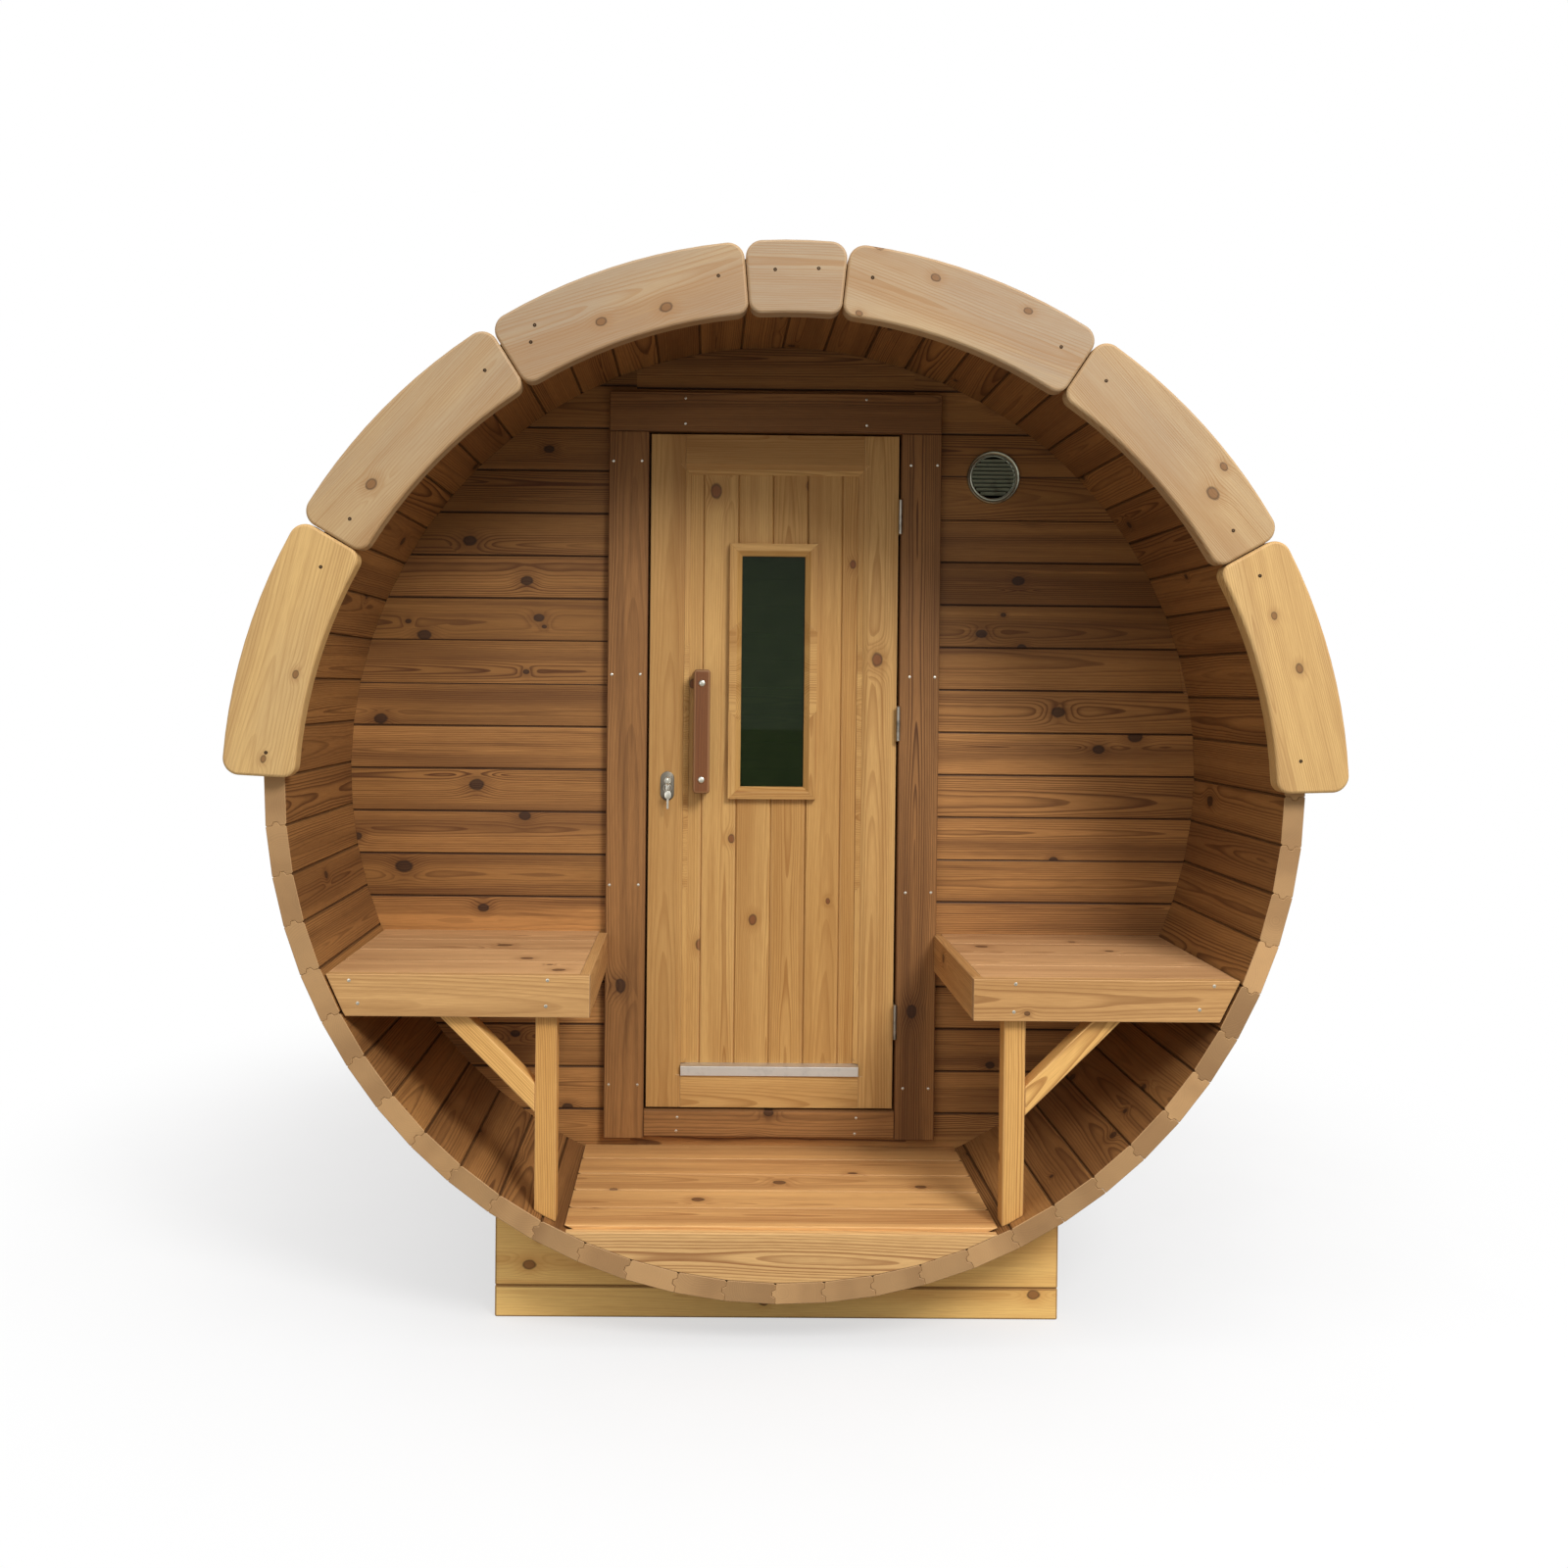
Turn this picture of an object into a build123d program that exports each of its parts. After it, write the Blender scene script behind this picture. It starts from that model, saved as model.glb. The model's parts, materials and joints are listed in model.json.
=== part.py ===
from build123d import *
import math
import os

# Barrel sauna with a roofed porch, in millimetres.
# Every piece is placed from the barrel's own axis: x to the right, y from the front end
# of the staves towards the back, z up. lift_to_ground then puts the origin on the ground
# under the middle of the barrel.

# Barrel
barrel_radius = 1000.0
barrel_length = 2400.0
stave_count = 64
stave_thickness = 40.0
stave_turn = -0.65  # degrees from the horizontal to the first joint
stave_bead_radius = 8.0
stave_bead_facets = 3
stave_inner_chamfer = 3.0
stave_outer_chamfer = 1.5
shell_count = 8
joint_gap = 0.3
fit_gap = 0.3

# Sawn arch boards nailed over both ends of the barrel
arch_overhang = 71.0
arch_board_width = 138.0
arch_board_thickness = 36.0
arch_drop = 36.0
arch_turn = 0.4  # degrees that the crown board stands off the middle
arch_key_half_angle = 5.35
arch_board_angle = 27.45
arch_side_boards = 3
arch_gap = 2.0
arch_outer_corner = 32.0
arch_inner_corner = 24.0
arch_eased_edge = 4.0

# Bands and roof covering
hoop_width = 25.0
hoop_thickness = 1.2
hoop_count = 3
hoop_end_distance = 330.0
lug_width = 16.0
lug_height = 22.0
lug_thickness = 4.0
lug_spread = 25.0
lug_stave = 5.5  # staves below the side joint to the lugs
hoop_bolt_radius = 4.0
hoop_bolt_overhang = 12.0
roof_thickness = 6.0
roof_half_angle = 86.0

# Walls and floors
porch_depth = 500.0
wall_thickness = 40.0
rear_wall_inset = 60.0
deck_rise = 104.0
deck_thickness = 28.0
deck_edge_gap = 5.0
deck_board_gap = 4.0
deck_board_count = 5
skirt_thickness = 18.0
skirt_step = 7.0
bearer_width = 45.0
bearer_count = 3
bearer_spacing = 250.0

# Doorway, with the casing boards round it
doorway_offset = -4.0
leaf_width = 560.0
leaf_thickness = 40.0
leaf_setback = 7.0
door_sill_rise = 90.0
door_head_drop = 201.0
door_gap = 5.0
frame_thickness = 30.0
frame_overhang = 20.0
stop_width = 17.0
casing_width = 90.0
casing_thickness = 22.0
casing_head_height = 89.0
casing_sill_height = 60.0
casing_foot_gap = 20.0

# Door leaf
stile_width = 78.0
top_rail_height = 78.0
bottom_rail_height = 73.0
panel_setback = 10.0
panel_thickness = 20.0
panel_board_width = 78.6
panel_first_joint = 42.0
panel_joint_count = 5
panel_groove = 3.0
frame_mould_width = 12.0
frame_mould_depth = 5.0
panel_bead_width = 12.0
panel_bead_rise = 2.5
window_width = 143.0
window_height = 522.0
window_drop = 273.0
window_offset = -1.0
window_rebate = 8.0
glass_gap = 0.5
moulding_width = 28.0
moulding_thickness = 15.0
moulding_slope = 12.0
moulding_lip = 4.0
drip_height = 27.0
drip_fall = 6.0
drip_overhang = 4.0
drip_sheet = 2.0

# Door furniture
handle_length = 278.0
handle_width = 38.0
handle_thickness = 22.0
handle_foot_length = 50.0
handle_grip_depth = 30.0
handle_rise = 716.0
handle_inset = 100.0
handle_corner = 8.0
lock_plate_height = 66.0
lock_plate_width = 31.0
lock_plate_thickness = 3.0
lock_plate_corner = 9.0
lock_inset = 42.5
lock_rise = 730.0
lock_nose_radius = 8.5
lock_nose_length = 6.0
hinge_height = 75.0
hinge_knuckle_radius = 4.5
hinge_pin_radius = 2.2
hinge_pin_clearance = 0.05
hinge_pin_length = 28.0
hinge_bore_extra = 4.0
hinge_plate_thickness = 2.0
hinge_plate_reach = 34.0
hinge_front_gap = 0.5
hinge_top_inset = 183.0
hinge_middle_inset = 649.0
hinge_bottom_inset = 200.0

# Porch benches
bench_half_gap = 370.0
seat_rise = 487.0
seat_thickness = 28.0
seat_board_count = 4
seat_board_gap = 4.0
seat_edge_gap = 4.0
bench_front_setback = 4.0
apron_height = 81.0
apron_thickness = 20.0
leg_size = 42.0
leg_inset = 64.0
brace_width = 40.0
brace_drop = 186.0

# Round air vent in the porch wall
vent_x = 492.0
vent_drop = 289.0
vent_radius = 60.0
vent_rim_width = 8.0
vent_depth = 8.0
vent_hole_radius = 50.0
vent_sleeve_gap = 0.5
vent_sleeve_wall = 2.0
vent_sleeve_length = 30.0
vent_slat_count = 9
vent_slat_thickness = 1.6
vent_slat_angle = 35.0
vent_slat_depth = 9.0

# Cradles
ground_gap = 95.0
cradle_width = 1146.0
cradle_height = 205.0
cradle_thickness = 45.0
cradle_inset = 150.0
cradle_foot_height = 64.0

# How far a cutter runs past the face that it cuts
cutter_overrun = 1.0

# Worked out from the sizes above
half_step = math.pi / stave_count
inner_radius = barrel_radius - stave_thickness
outer_apothem = barrel_radius * math.cos(half_step)
inner_apothem = inner_radius * math.cos(half_step)
axis_height = barrel_radius + ground_gap
deck_top = deck_rise - inner_radius
wall_front = porch_depth
wall_back = wall_front + wall_thickness
rear_wall_back = barrel_length - rear_wall_inset
rear_wall_front = rear_wall_back - wall_thickness
leaf_left = doorway_offset - leaf_width / 2
leaf_right = doorway_offset + leaf_width / 2
leaf_bottom = deck_top + door_sill_rise
leaf_top = inner_radius - door_head_drop
casing_front = wall_front - casing_thickness
leaf_front = casing_front + leaf_setback
leaf_back = leaf_front + leaf_thickness
opening_left = leaf_left - door_gap
opening_right = leaf_right + door_gap
opening_bottom = leaf_bottom - door_gap
opening_top = leaf_top + door_gap
frame_left = opening_left - frame_thickness
frame_right = opening_right + frame_thickness
frame_bottom = opening_bottom - frame_thickness
frame_top = opening_top + frame_thickness
frame_back = wall_back + frame_overhang
stop_front = leaf_back + door_gap
panel_left = leaf_left + stile_width
panel_right = leaf_right - stile_width
panel_bottom = leaf_bottom + bottom_rail_height
panel_top = leaf_top - top_rail_height
panel_front = leaf_front + panel_setback
panel_back = panel_front + panel_thickness
window_x = doorway_offset + window_offset
window_z = leaf_top - window_drop - window_height / 2
hinge_x = (leaf_right + opening_right) / 2
hinge_y = casing_front - hinge_front_gap - hinge_knuckle_radius
seat_top = deck_top + seat_rise
seat_bottom = seat_top - seat_thickness
seat_front = bench_front_setback + apron_thickness
vent_z = inner_radius - vent_drop


def lift_to_ground(shape):
    return Pos(0, -barrel_length / 2, axis_height) * shape


def write(name, shape):
    solids = shape.solids() if hasattr(shape, "solids") else shape
    kept = solids[0] if len(solids) == 1 else Compound(children=list(solids))
    export_step(lift_to_ground(kept), f"parts/{name}.step")


def group(shapes):
    found = []
    for shape in shapes:
        found.extend(shape.solids())
    return Compound(children=found)


def block(x_low, x_high, y_low, y_high, z_low, z_high):
    size = Box(x_high - x_low, y_high - y_low, z_high - z_low)
    return Pos((x_low + x_high) / 2, (y_low + y_high) / 2, (z_low + z_high) / 2) * size


def cross_section(face, y_low, y_high):
    """A face drawn in x and z, made solid from y_low to y_high."""
    return Pos(0, y_low, 0) * extrude(Plane.XZ * face, amount=y_low - y_high)


def outline(points):
    return make_face(Polyline(*points, close=True))


def bore(gap, y_low, y_high):
    """The many-sided room inside the staves, less a gap all round."""
    sides = RegularPolygon(inner_apothem - gap, stave_count, major_radius=False, rotation=stave_turn)
    return cross_section(sides, y_low, y_high)


def fitted(x_low, x_high, y_low, y_high, z_low, z_high, gap=fit_gap):
    """A block cut back to the inside of the barrel."""
    return block(x_low, x_high, y_low, y_high, z_low, z_high) & bore(gap, y_low, y_high)


def evenly(first, last, count, gap):
    """Low and high edges of equal boards that fill a run, with a gap between them."""
    width = (last - first - gap * (count - 1)) / count
    return [(first + i * (width + gap), first + i * (width + gap) + width) for i in range(count)]


# Staves: a bead on one edge and a cove on the other, so each turns in the next

def stave_face():
    slope = math.tan(half_step)
    back_off = joint_gap / 2 / math.cos(half_step)
    middle = (outer_apothem + inner_apothem) / 2

    def half_width(height):
        return height * slope - back_off

    def joint_point(side, radius, turn):
        """A point round the middle of one edge, turned from the edge's outer end."""
        angle = half_step + turn
        centre = Vector(side * half_width(middle), middle)
        return centre + Vector(side * math.sin(angle), math.cos(angle)) * radius

    turns = [math.pi * i / stave_bead_facets for i in range(stave_bead_facets + 1)]
    bead = [joint_point(1, stave_bead_radius, turn) for turn in turns]
    cove = [joint_point(-1, stave_bead_radius + joint_gap, -turn) for turn in reversed(turns)]
    outer_low = outer_apothem - stave_outer_chamfer
    inner_high = inner_apothem + stave_inner_chamfer
    outer_edge = [
        (stave_outer_chamfer - half_width(outer_apothem), outer_apothem),
        (half_width(outer_apothem) - stave_outer_chamfer, outer_apothem),
        (half_width(outer_low), outer_low),
    ]
    inner_edge = [
        (half_width(inner_high), inner_high),
        (half_width(inner_apothem) - stave_inner_chamfer, inner_apothem),
        (stave_inner_chamfer - half_width(inner_apothem), inner_apothem),
        (-half_width(inner_high), inner_high),
    ]
    return outline(outer_edge + bead + inner_edge + cove + [(-half_width(outer_low), outer_low)])


def stave_shell(number):
    stave = cross_section(stave_face(), 0, barrel_length)
    step = 360 / stave_count
    per_shell = stave_count // shell_count
    first = number * per_shell
    last = stave_count if number == shell_count - 1 else first + per_shell
    turns = [90 - stave_turn - step * (i + 0.5) for i in range(first, last)]
    return group([Rot(0, turn, 0) * stave for turn in turns])


# Arch boards: sawn to the curve, corners rounded, front edges eased

def arch_board(start, end, y_low, y_high):
    outer = barrel_radius + arch_overhang
    inner = outer - arch_board_width
    middle = outer - arch_board_width / 2
    trim = math.degrees(arch_gap / 2 / middle)
    low, high = math.radians(start + trim), math.radians(end - trim)
    centre = (low + high) / 2

    def at(radius, angle):
        return (radius * math.sin(angle), radius * math.cos(angle))

    top = ThreePointArc(at(outer, low), at(outer, centre), at(outer, high))
    bottom = ThreePointArc(at(inner, high), at(inner, centre), at(inner, low))
    face = make_face([top, Line(top @ 1, bottom @ 0), bottom, Line(bottom @ 1, top @ 0)])
    corners = face.vertices().sort_by(lambda v: v.X**2 + v.Y**2)
    face = fillet(corners[2:], arch_outer_corner)
    corners = face.vertices().sort_by(lambda v: v.X**2 + v.Y**2)
    face = fillet(corners[:2], arch_inner_corner)
    board = cross_section(face, y_low, y_high)
    if y_low < 0:
        board = chamfer(board.faces().sort_by(Axis.Y)[0].edges(), arch_eased_edge)
    return board


def arch_boards(y_low, y_high, turn):
    boards = [arch_board(-arch_key_half_angle, arch_key_half_angle, y_low, y_high)]
    for i in range(arch_side_boards):
        start = arch_key_half_angle + i * arch_board_angle
        end = start + arch_board_angle
        boards.append(arch_board(start, end, y_low, y_high))
        boards.append(arch_board(-end, -start, y_low, y_high))
    return group([Pos(0, 0, -arch_drop) * Rot(0, turn, 0) * board for board in boards])


# Steel bands, drawn tight by a bolt between two lugs

def hoop(y_middle):
    y_low, y_high = y_middle - hoop_width / 2, y_middle + hoop_width / 2
    inner = barrel_radius + fit_gap
    outer = inner + hoop_thickness
    ring = RegularPolygon(outer, stave_count, rotation=stave_turn)
    ring -= RegularPolygon(inner, stave_count, rotation=stave_turn)
    lug_base = outer * math.cos(half_step)
    lug = block(lug_base, lug_base + lug_height, y_middle - lug_width / 2, y_middle + lug_width / 2,
                -lug_thickness / 2, lug_thickness / 2)
    half_bolt = lug_spread + hoop_bolt_overhang
    bolt = extrude(RegularPolygon(hoop_bolt_radius, 6), amount=half_bolt, both=True)
    tensioner = Pos(lug_base + lug_height / 2, y_middle, 0) * bolt
    for side in (-1, 1):
        tensioner += Pos(0, 0, side * lug_spread) * lug
    turn = lug_stave * 360 / stave_count - stave_turn
    return cross_section(ring, y_low, y_high) + Rot(0, turn, 0) * tensioner


def steel_hoops():
    first, last = hoop_end_distance, barrel_length - hoop_end_distance
    step = (last - first) / (hoop_count - 1)
    return group([hoop(first + i * step) for i in range(hoop_count)])


def roof_covering():
    inner = barrel_radius + fit_gap + hoop_thickness + fit_gap
    outer = inner + roof_thickness
    half = math.radians(roof_half_angle)

    def at(radius, side):
        return (side * radius * math.sin(half), radius * math.cos(half))

    top = ThreePointArc(at(outer, -1), (0, outer), at(outer, 1))
    bottom = ThreePointArc(at(inner, 1), (0, inner), at(inner, -1))
    face = make_face([top, Line(top @ 1, bottom @ 0), bottom, Line(bottom @ 1, top @ 0)])
    return cross_section(face, 0, barrel_length)


# Walls, set inside the staves

def porch_wall(x_low, x_high, z_low, z_high):
    return fitted(x_low, x_high, wall_front, wall_back, z_low, z_high)


def porch_wall_right():
    wall = porch_wall(frame_right, barrel_radius, -barrel_radius, barrel_radius)
    hole = cross_section(Pos(vent_x, vent_z) * Circle(vent_hole_radius), wall_front, wall_back)
    return wall - hole


# Floors and what carries them

def porch_deck():
    runs = evenly(skirt_thickness, wall_front, deck_board_count, deck_board_gap)
    return group([
        fitted(-barrel_radius, barrel_radius, low, high, deck_top - deck_thickness, deck_top, deck_edge_gap)
        for low, high in runs
    ])


def bearers(y_low, y_high):
    """Joists along the barrel, under the boards and sawn to the staves below."""
    outermost = -bearer_spacing * (bearer_count - 1) / 2
    middles = [outermost + i * bearer_spacing for i in range(bearer_count)]
    return group([
        fitted(x - bearer_width / 2, x + bearer_width / 2, y_low, y_high,
               -barrel_radius, deck_top - deck_thickness)
        for x in middles
    ])


# Door frame with a stop behind the leaf, and casing boards on the wall

def door_frame():
    frame = block(frame_left, frame_right, wall_front, frame_back, frame_bottom, frame_top)
    frame -= block(opening_left, opening_right, wall_front, stop_front, opening_bottom, opening_top)
    stop_left, stop_right = opening_left + stop_width, opening_right - stop_width
    stop_bottom, stop_top = opening_bottom + stop_width, opening_top - stop_width
    frame -= block(stop_left, stop_right, wall_front, frame_back, stop_bottom, stop_top)
    left = block(frame_left, stop_left, wall_front, frame_back, frame_bottom, frame_top)
    right = block(stop_right, frame_right, wall_front, frame_back, frame_bottom, frame_top)
    between = (stop_left + joint_gap, stop_right - joint_gap, wall_front, frame_back)
    head = block(*between, stop_top, frame_top)
    sill = block(*between, frame_bottom, stop_bottom)
    return group([frame & piece for piece in (left, right, head, sill)])


def door_casing():
    left, right = opening_left - casing_width, opening_right + casing_width
    foot = deck_top + casing_foot_gap
    pieces = [
        (left, right, opening_top, opening_top + casing_head_height),
        (left, opening_left, foot, opening_top - joint_gap),
        (opening_right, right, foot, opening_top - joint_gap),
        (opening_left + joint_gap, opening_right - joint_gap, opening_bottom - casing_sill_height, opening_bottom),
    ]
    return group([fitted(x0, x1, casing_front, wall_front, z0, z1) for x0, x1, z0, z1 in pieces])


# Door leaf

def mould_cutter():
    """Cuts the moulded slope round the panel, on the sides and top of its opening."""
    width, height = panel_right - panel_left, panel_top - panel_bottom
    place = Pos((panel_left + panel_right) / 2, (panel_bottom + panel_top) / 2)
    slope = sloped_opening(width, height, place, frame_mould_width, leaf_front + frame_mould_depth, leaf_front)
    return slope & block(leaf_left, leaf_right, leaf_front, leaf_back, panel_bottom, leaf_top)


def door_stiles():
    stiles = [
        block(leaf_left, panel_left, leaf_front, leaf_back, leaf_bottom, leaf_top),
        block(panel_right, leaf_right, leaf_front, leaf_back, leaf_bottom, leaf_top),
    ]
    return group([stile - mould_cutter() for stile in stiles])


def door_rails():
    bottom = block(panel_left, panel_right, leaf_front, leaf_back, leaf_bottom, panel_bottom)
    top = block(panel_left, panel_right, leaf_front, leaf_back, panel_top, leaf_top)
    return group([bottom, top - mould_cutter()])


def window_block(grow, y_low, y_high):
    return Pos(window_x, (y_low + y_high) / 2, window_z) * Box(
        window_width + 2 * grow, y_high - y_low, window_height + 2 * grow
    )


def door_panel():
    panel = block(panel_left, panel_right, panel_front, panel_back, panel_bottom, panel_top)
    groove = outline([(-panel_groove, 0), (panel_groove, 0), (0, panel_groove)])
    cutter = extrude(groove, amount=panel_top - panel_bottom)
    for i in range(panel_joint_count):
        joint_x = panel_left + panel_first_joint + i * panel_board_width
        if joint_x < panel_right - panel_groove:
            panel -= Pos(joint_x, panel_front, panel_bottom) * cutter
    return panel - window_block(window_rebate, panel_front - cutter_overrun, panel_back + cutter_overrun)


def sloped_opening(width, height, place, slope, y_small, y_large):
    """A cutter that widens by slope on each side, from y_small to y_large."""
    small = Plane.XZ.offset(-y_small) * place * Rectangle(width, height)
    large = Plane.XZ.offset(-y_large) * place * Rectangle(width + 2 * slope, height + 2 * slope)
    return loft([small, large])


def window_moulding(y_seat, side):
    """Mitred beads round the glass, sloping down to it. side is -1 in front and 1 behind."""
    face_y = y_seat + side * moulding_thickness
    lip_y = y_seat + side * moulding_lip
    ring = window_block(moulding_width, min(y_seat, face_y), max(y_seat, face_y))
    ring -= window_block(0, min(y_seat, lip_y), max(y_seat, lip_y))
    place = Pos(window_x, window_z)
    return ring - sloped_opening(window_width, window_height, place, moulding_slope, lip_y, face_y)


def panel_beads():
    """Beads along the panel's sides and top, carrying the slope of the frame down to it."""
    face_y = leaf_front + frame_mould_depth
    lip_y = panel_front - panel_bead_rise
    foot = panel_bottom + drip_height
    width, height = panel_right - panel_left - 2 * panel_bead_width, panel_top - foot
    place = Pos((panel_left + panel_right) / 2, (foot + panel_top) / 2 - panel_bead_width)
    ring = block(panel_left, panel_right, face_y, panel_front, foot, panel_top)
    ring -= sloped_opening(width, height, place, panel_bead_width, lip_y, face_y)
    return ring - block(panel_left + panel_bead_width, panel_right - panel_bead_width, lip_y, panel_front,
                        foot, panel_top - panel_bead_width)


def door_mouldings():
    return group([window_moulding(panel_front, -1), window_moulding(panel_back, 1), panel_beads()])


def door_glass():
    return window_block(window_rebate - glass_gap, panel_front + fit_gap, panel_back - fit_gap)


def door_drip():
    """A bent strip, sloping out from the panel and down over the bottom rail."""
    top = panel_bottom + drip_height
    lip_y = leaf_front - drip_overhang
    profile = [
        (panel_front, top),
        (lip_y, top - drip_fall),
        (lip_y, panel_bottom),
        (lip_y + drip_sheet, panel_bottom),
        (lip_y + drip_sheet, top - drip_fall - drip_sheet),
        (panel_front, top - drip_sheet),
    ]
    return Pos(panel_left, 0, 0) * extrude(Plane.YZ * outline(profile), amount=panel_right - panel_left)


def door_handle():
    left = leaf_left + handle_inset
    bottom = leaf_bottom + handle_rise
    back = panel_front
    front = back - handle_grip_depth - handle_thickness
    grip = block(left, left + handle_width, back - handle_grip_depth, back,
                 bottom + handle_foot_length, bottom + handle_length - handle_foot_length)
    bar = block(left, left + handle_width, front, back, bottom, bottom + handle_length)
    bar = fillet(bar.edges().filter_by(Axis.Y), handle_corner)
    return bar - grip


def door_lock():
    middle_x = leaf_left + lock_inset
    middle_z = leaf_bottom + lock_rise
    plate = chamfer(Rectangle(lock_plate_width, lock_plate_height).vertices(), lock_plate_corner)
    face = leaf_front - lock_plate_thickness
    lock = cross_section(Pos(middle_x, middle_z) * plate, face, leaf_front)
    nose_z = middle_z + lock_plate_height / 2 - lock_plate_width / 2
    nose = Pos(middle_x, nose_z) * Circle(lock_nose_radius)
    return lock + cross_section(nose, face - lock_nose_length, face)


# Hinges: a pin on the frame's half turns in the leaf's half

def hinge_heights():
    return [
        leaf_top - hinge_top_inset,
        leaf_top - hinge_middle_inset,
        leaf_bottom + hinge_bottom_inset,
    ]


def hinge_plate(x_low, middle, own_low, own_high):
    half = hinge_height / 2
    clear = casing_front
    plate = block(x_low, x_low + hinge_plate_thickness, clear, clear + hinge_plate_reach,
                  middle - half, middle + half)
    neck = block(x_low, x_low + hinge_plate_thickness, hinge_y, clear + hinge_plate_thickness,
                 own_low, own_high)
    return plate + neck


def knuckle(radius, low, high):
    return Pos(hinge_x, hinge_y, (low + high) / 2) * Cylinder(radius, high - low)


def frame_hinge(middle):
    low, high = middle - hinge_height / 2, middle - joint_gap / 2
    half = hinge_plate(opening_right - hinge_plate_thickness, middle, low, high)
    half += knuckle(hinge_knuckle_radius, low, high)
    return half + knuckle(hinge_pin_radius, low, high + hinge_pin_length)


def leaf_hinge(middle):
    low, high = middle + joint_gap / 2, middle + hinge_height / 2
    half = hinge_plate(leaf_right, middle, low, high)
    half += knuckle(hinge_knuckle_radius, low, high)
    bore_top = low + hinge_pin_length + hinge_bore_extra
    return half - knuckle(hinge_pin_radius + hinge_pin_clearance, low - cutter_overrun, bore_top)


# Benches

def mirrored(side, x_near, x_far):
    """Low and high x for a run that starts at x_near from the doorway's middle line."""
    ends = (doorway_offset + side * x_near, doorway_offset + side * x_far)
    return min(ends), max(ends)


def bench_seat(side):
    x_low, x_high = mirrored(side, bench_half_gap + apron_thickness, barrel_radius)
    runs = evenly(seat_front, wall_front, seat_board_count, seat_board_gap)
    return group([
        fitted(x_low, x_high, low, high, seat_bottom, seat_top, seat_edge_gap) for low, high in runs
    ])


def bench_apron(side):
    x_low, x_high = mirrored(side, bench_half_gap, barrel_radius)
    return fitted(x_low, x_high, bench_front_setback, seat_front,
                  seat_top - apron_height, seat_top, seat_edge_gap)


def bench_side(side):
    x_low, x_high = mirrored(side, bench_half_gap, bench_half_gap + apron_thickness)
    return block(x_low, x_high, seat_front, casing_front, seat_top - apron_height, seat_top)


def bench_frame(side):
    return bench_apron(side) + bench_side(side)


def bench_leg(side):
    x_low, x_high = mirrored(side, bench_half_gap + leg_inset, bench_half_gap + leg_inset + leg_size)
    return fitted(x_low, x_high, seat_front, seat_front + leg_size, -barrel_radius, seat_bottom)


def bench_brace(side):
    leg_face = bench_half_gap + leg_inset + leg_size
    low = seat_bottom - brace_drop
    slant = brace_width * math.sqrt(2)
    points = [
        (leg_face, low),
        (leg_face + brace_drop, seat_bottom),
        (leg_face + brace_drop + slant, seat_bottom),
        (leg_face, low - slant),
    ]
    face = outline([(doorway_offset + side * x, z) for x, z in points])
    brace = cross_section(face, seat_front, seat_front + leg_size)
    return brace & bore(fit_gap, seat_front, seat_front + leg_size)


# Vent: a rim with sloping slats, on a sleeve through the wall

def vent_slat(height):
    """One sloping slat, as long as the rim is wide at its height."""
    rim_inner = vent_radius - vent_rim_width - fit_gap
    reach = abs(height) + vent_slat_depth / 2 * math.sin(math.radians(vent_slat_angle))
    length = 2 * math.sqrt(rim_inner**2 - reach**2)
    slat = Box(length, vent_slat_depth, vent_slat_thickness)
    return Pos(vent_x, wall_front - vent_depth / 2, vent_z + height) * Rot(vent_slat_angle, 0, 0) * slat


def vent():
    rim_inner = vent_radius - vent_rim_width
    sleeve_outer = vent_hole_radius - vent_sleeve_gap
    sleeve_inner = sleeve_outer - vent_sleeve_wall
    place = Pos(vent_x, vent_z)
    rim = place * (Circle(vent_radius) - Circle(rim_inner))
    sleeve = place * (Circle(sleeve_outer) - Circle(sleeve_inner))
    cover = cross_section(rim, wall_front - vent_depth, wall_front)
    cover += cross_section(place * (Circle(rim_inner) - Circle(sleeve_inner)),
                           wall_front - vent_sleeve_wall, wall_front)
    cover += cross_section(sleeve, wall_front, wall_front + vent_sleeve_length)
    pitch = 2 * rim_inner / (vent_slat_count + 1)
    slats = [vent_slat(pitch * (i + 1) - rim_inner) for i in range(vent_slat_count)]
    return group([cover] + slats)


# Cradles: an upper board sawn to the barrel on a straight foot board

def cradle(y_low):
    y_high = y_low + cradle_thickness
    half = cradle_width / 2
    foot_top = cradle_foot_height - axis_height
    foot = block(-half, half, y_low, y_high, -axis_height, foot_top)
    upper = block(-half, half, y_low, y_high, foot_top + joint_gap, cradle_height - axis_height)
    saddle = cross_section(Circle(barrel_radius + fit_gap), y_low, y_high)
    return group([foot, upper - saddle])


os.makedirs("parts", exist_ok=True)

for number in range(shell_count):
    write(f"stave_shell_{number + 1}", stave_shell(number))
write("arch_boards_front", arch_boards(-arch_board_thickness, 0, arch_turn))
write("arch_boards_rear", arch_boards(barrel_length, barrel_length + arch_board_thickness, -arch_turn))
write("steel_hoops", steel_hoops())
write("roof_covering", roof_covering())

write("porch_wall_left", porch_wall(-barrel_radius, frame_left, -barrel_radius, barrel_radius))
write("porch_wall_right", porch_wall_right())
write("porch_wall_over_door", porch_wall(frame_left, frame_right, frame_top, barrel_radius))
write("porch_wall_under_door", porch_wall(frame_left, frame_right, -barrel_radius, frame_bottom))
write("rear_wall", bore(fit_gap, rear_wall_front, rear_wall_back))
write("vent", vent())

write("porch_deck", porch_deck())
write("porch_skirt", fitted(-barrel_radius, barrel_radius, 0, skirt_thickness, -barrel_radius, deck_top - skirt_step))
write("porch_bearers", bearers(skirt_thickness, wall_front))
write("room_floor", fitted(-barrel_radius, barrel_radius, wall_back, rear_wall_front,
                           deck_top - deck_thickness, deck_top, deck_edge_gap))
write("room_bearers", bearers(wall_back, rear_wall_front))

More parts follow.
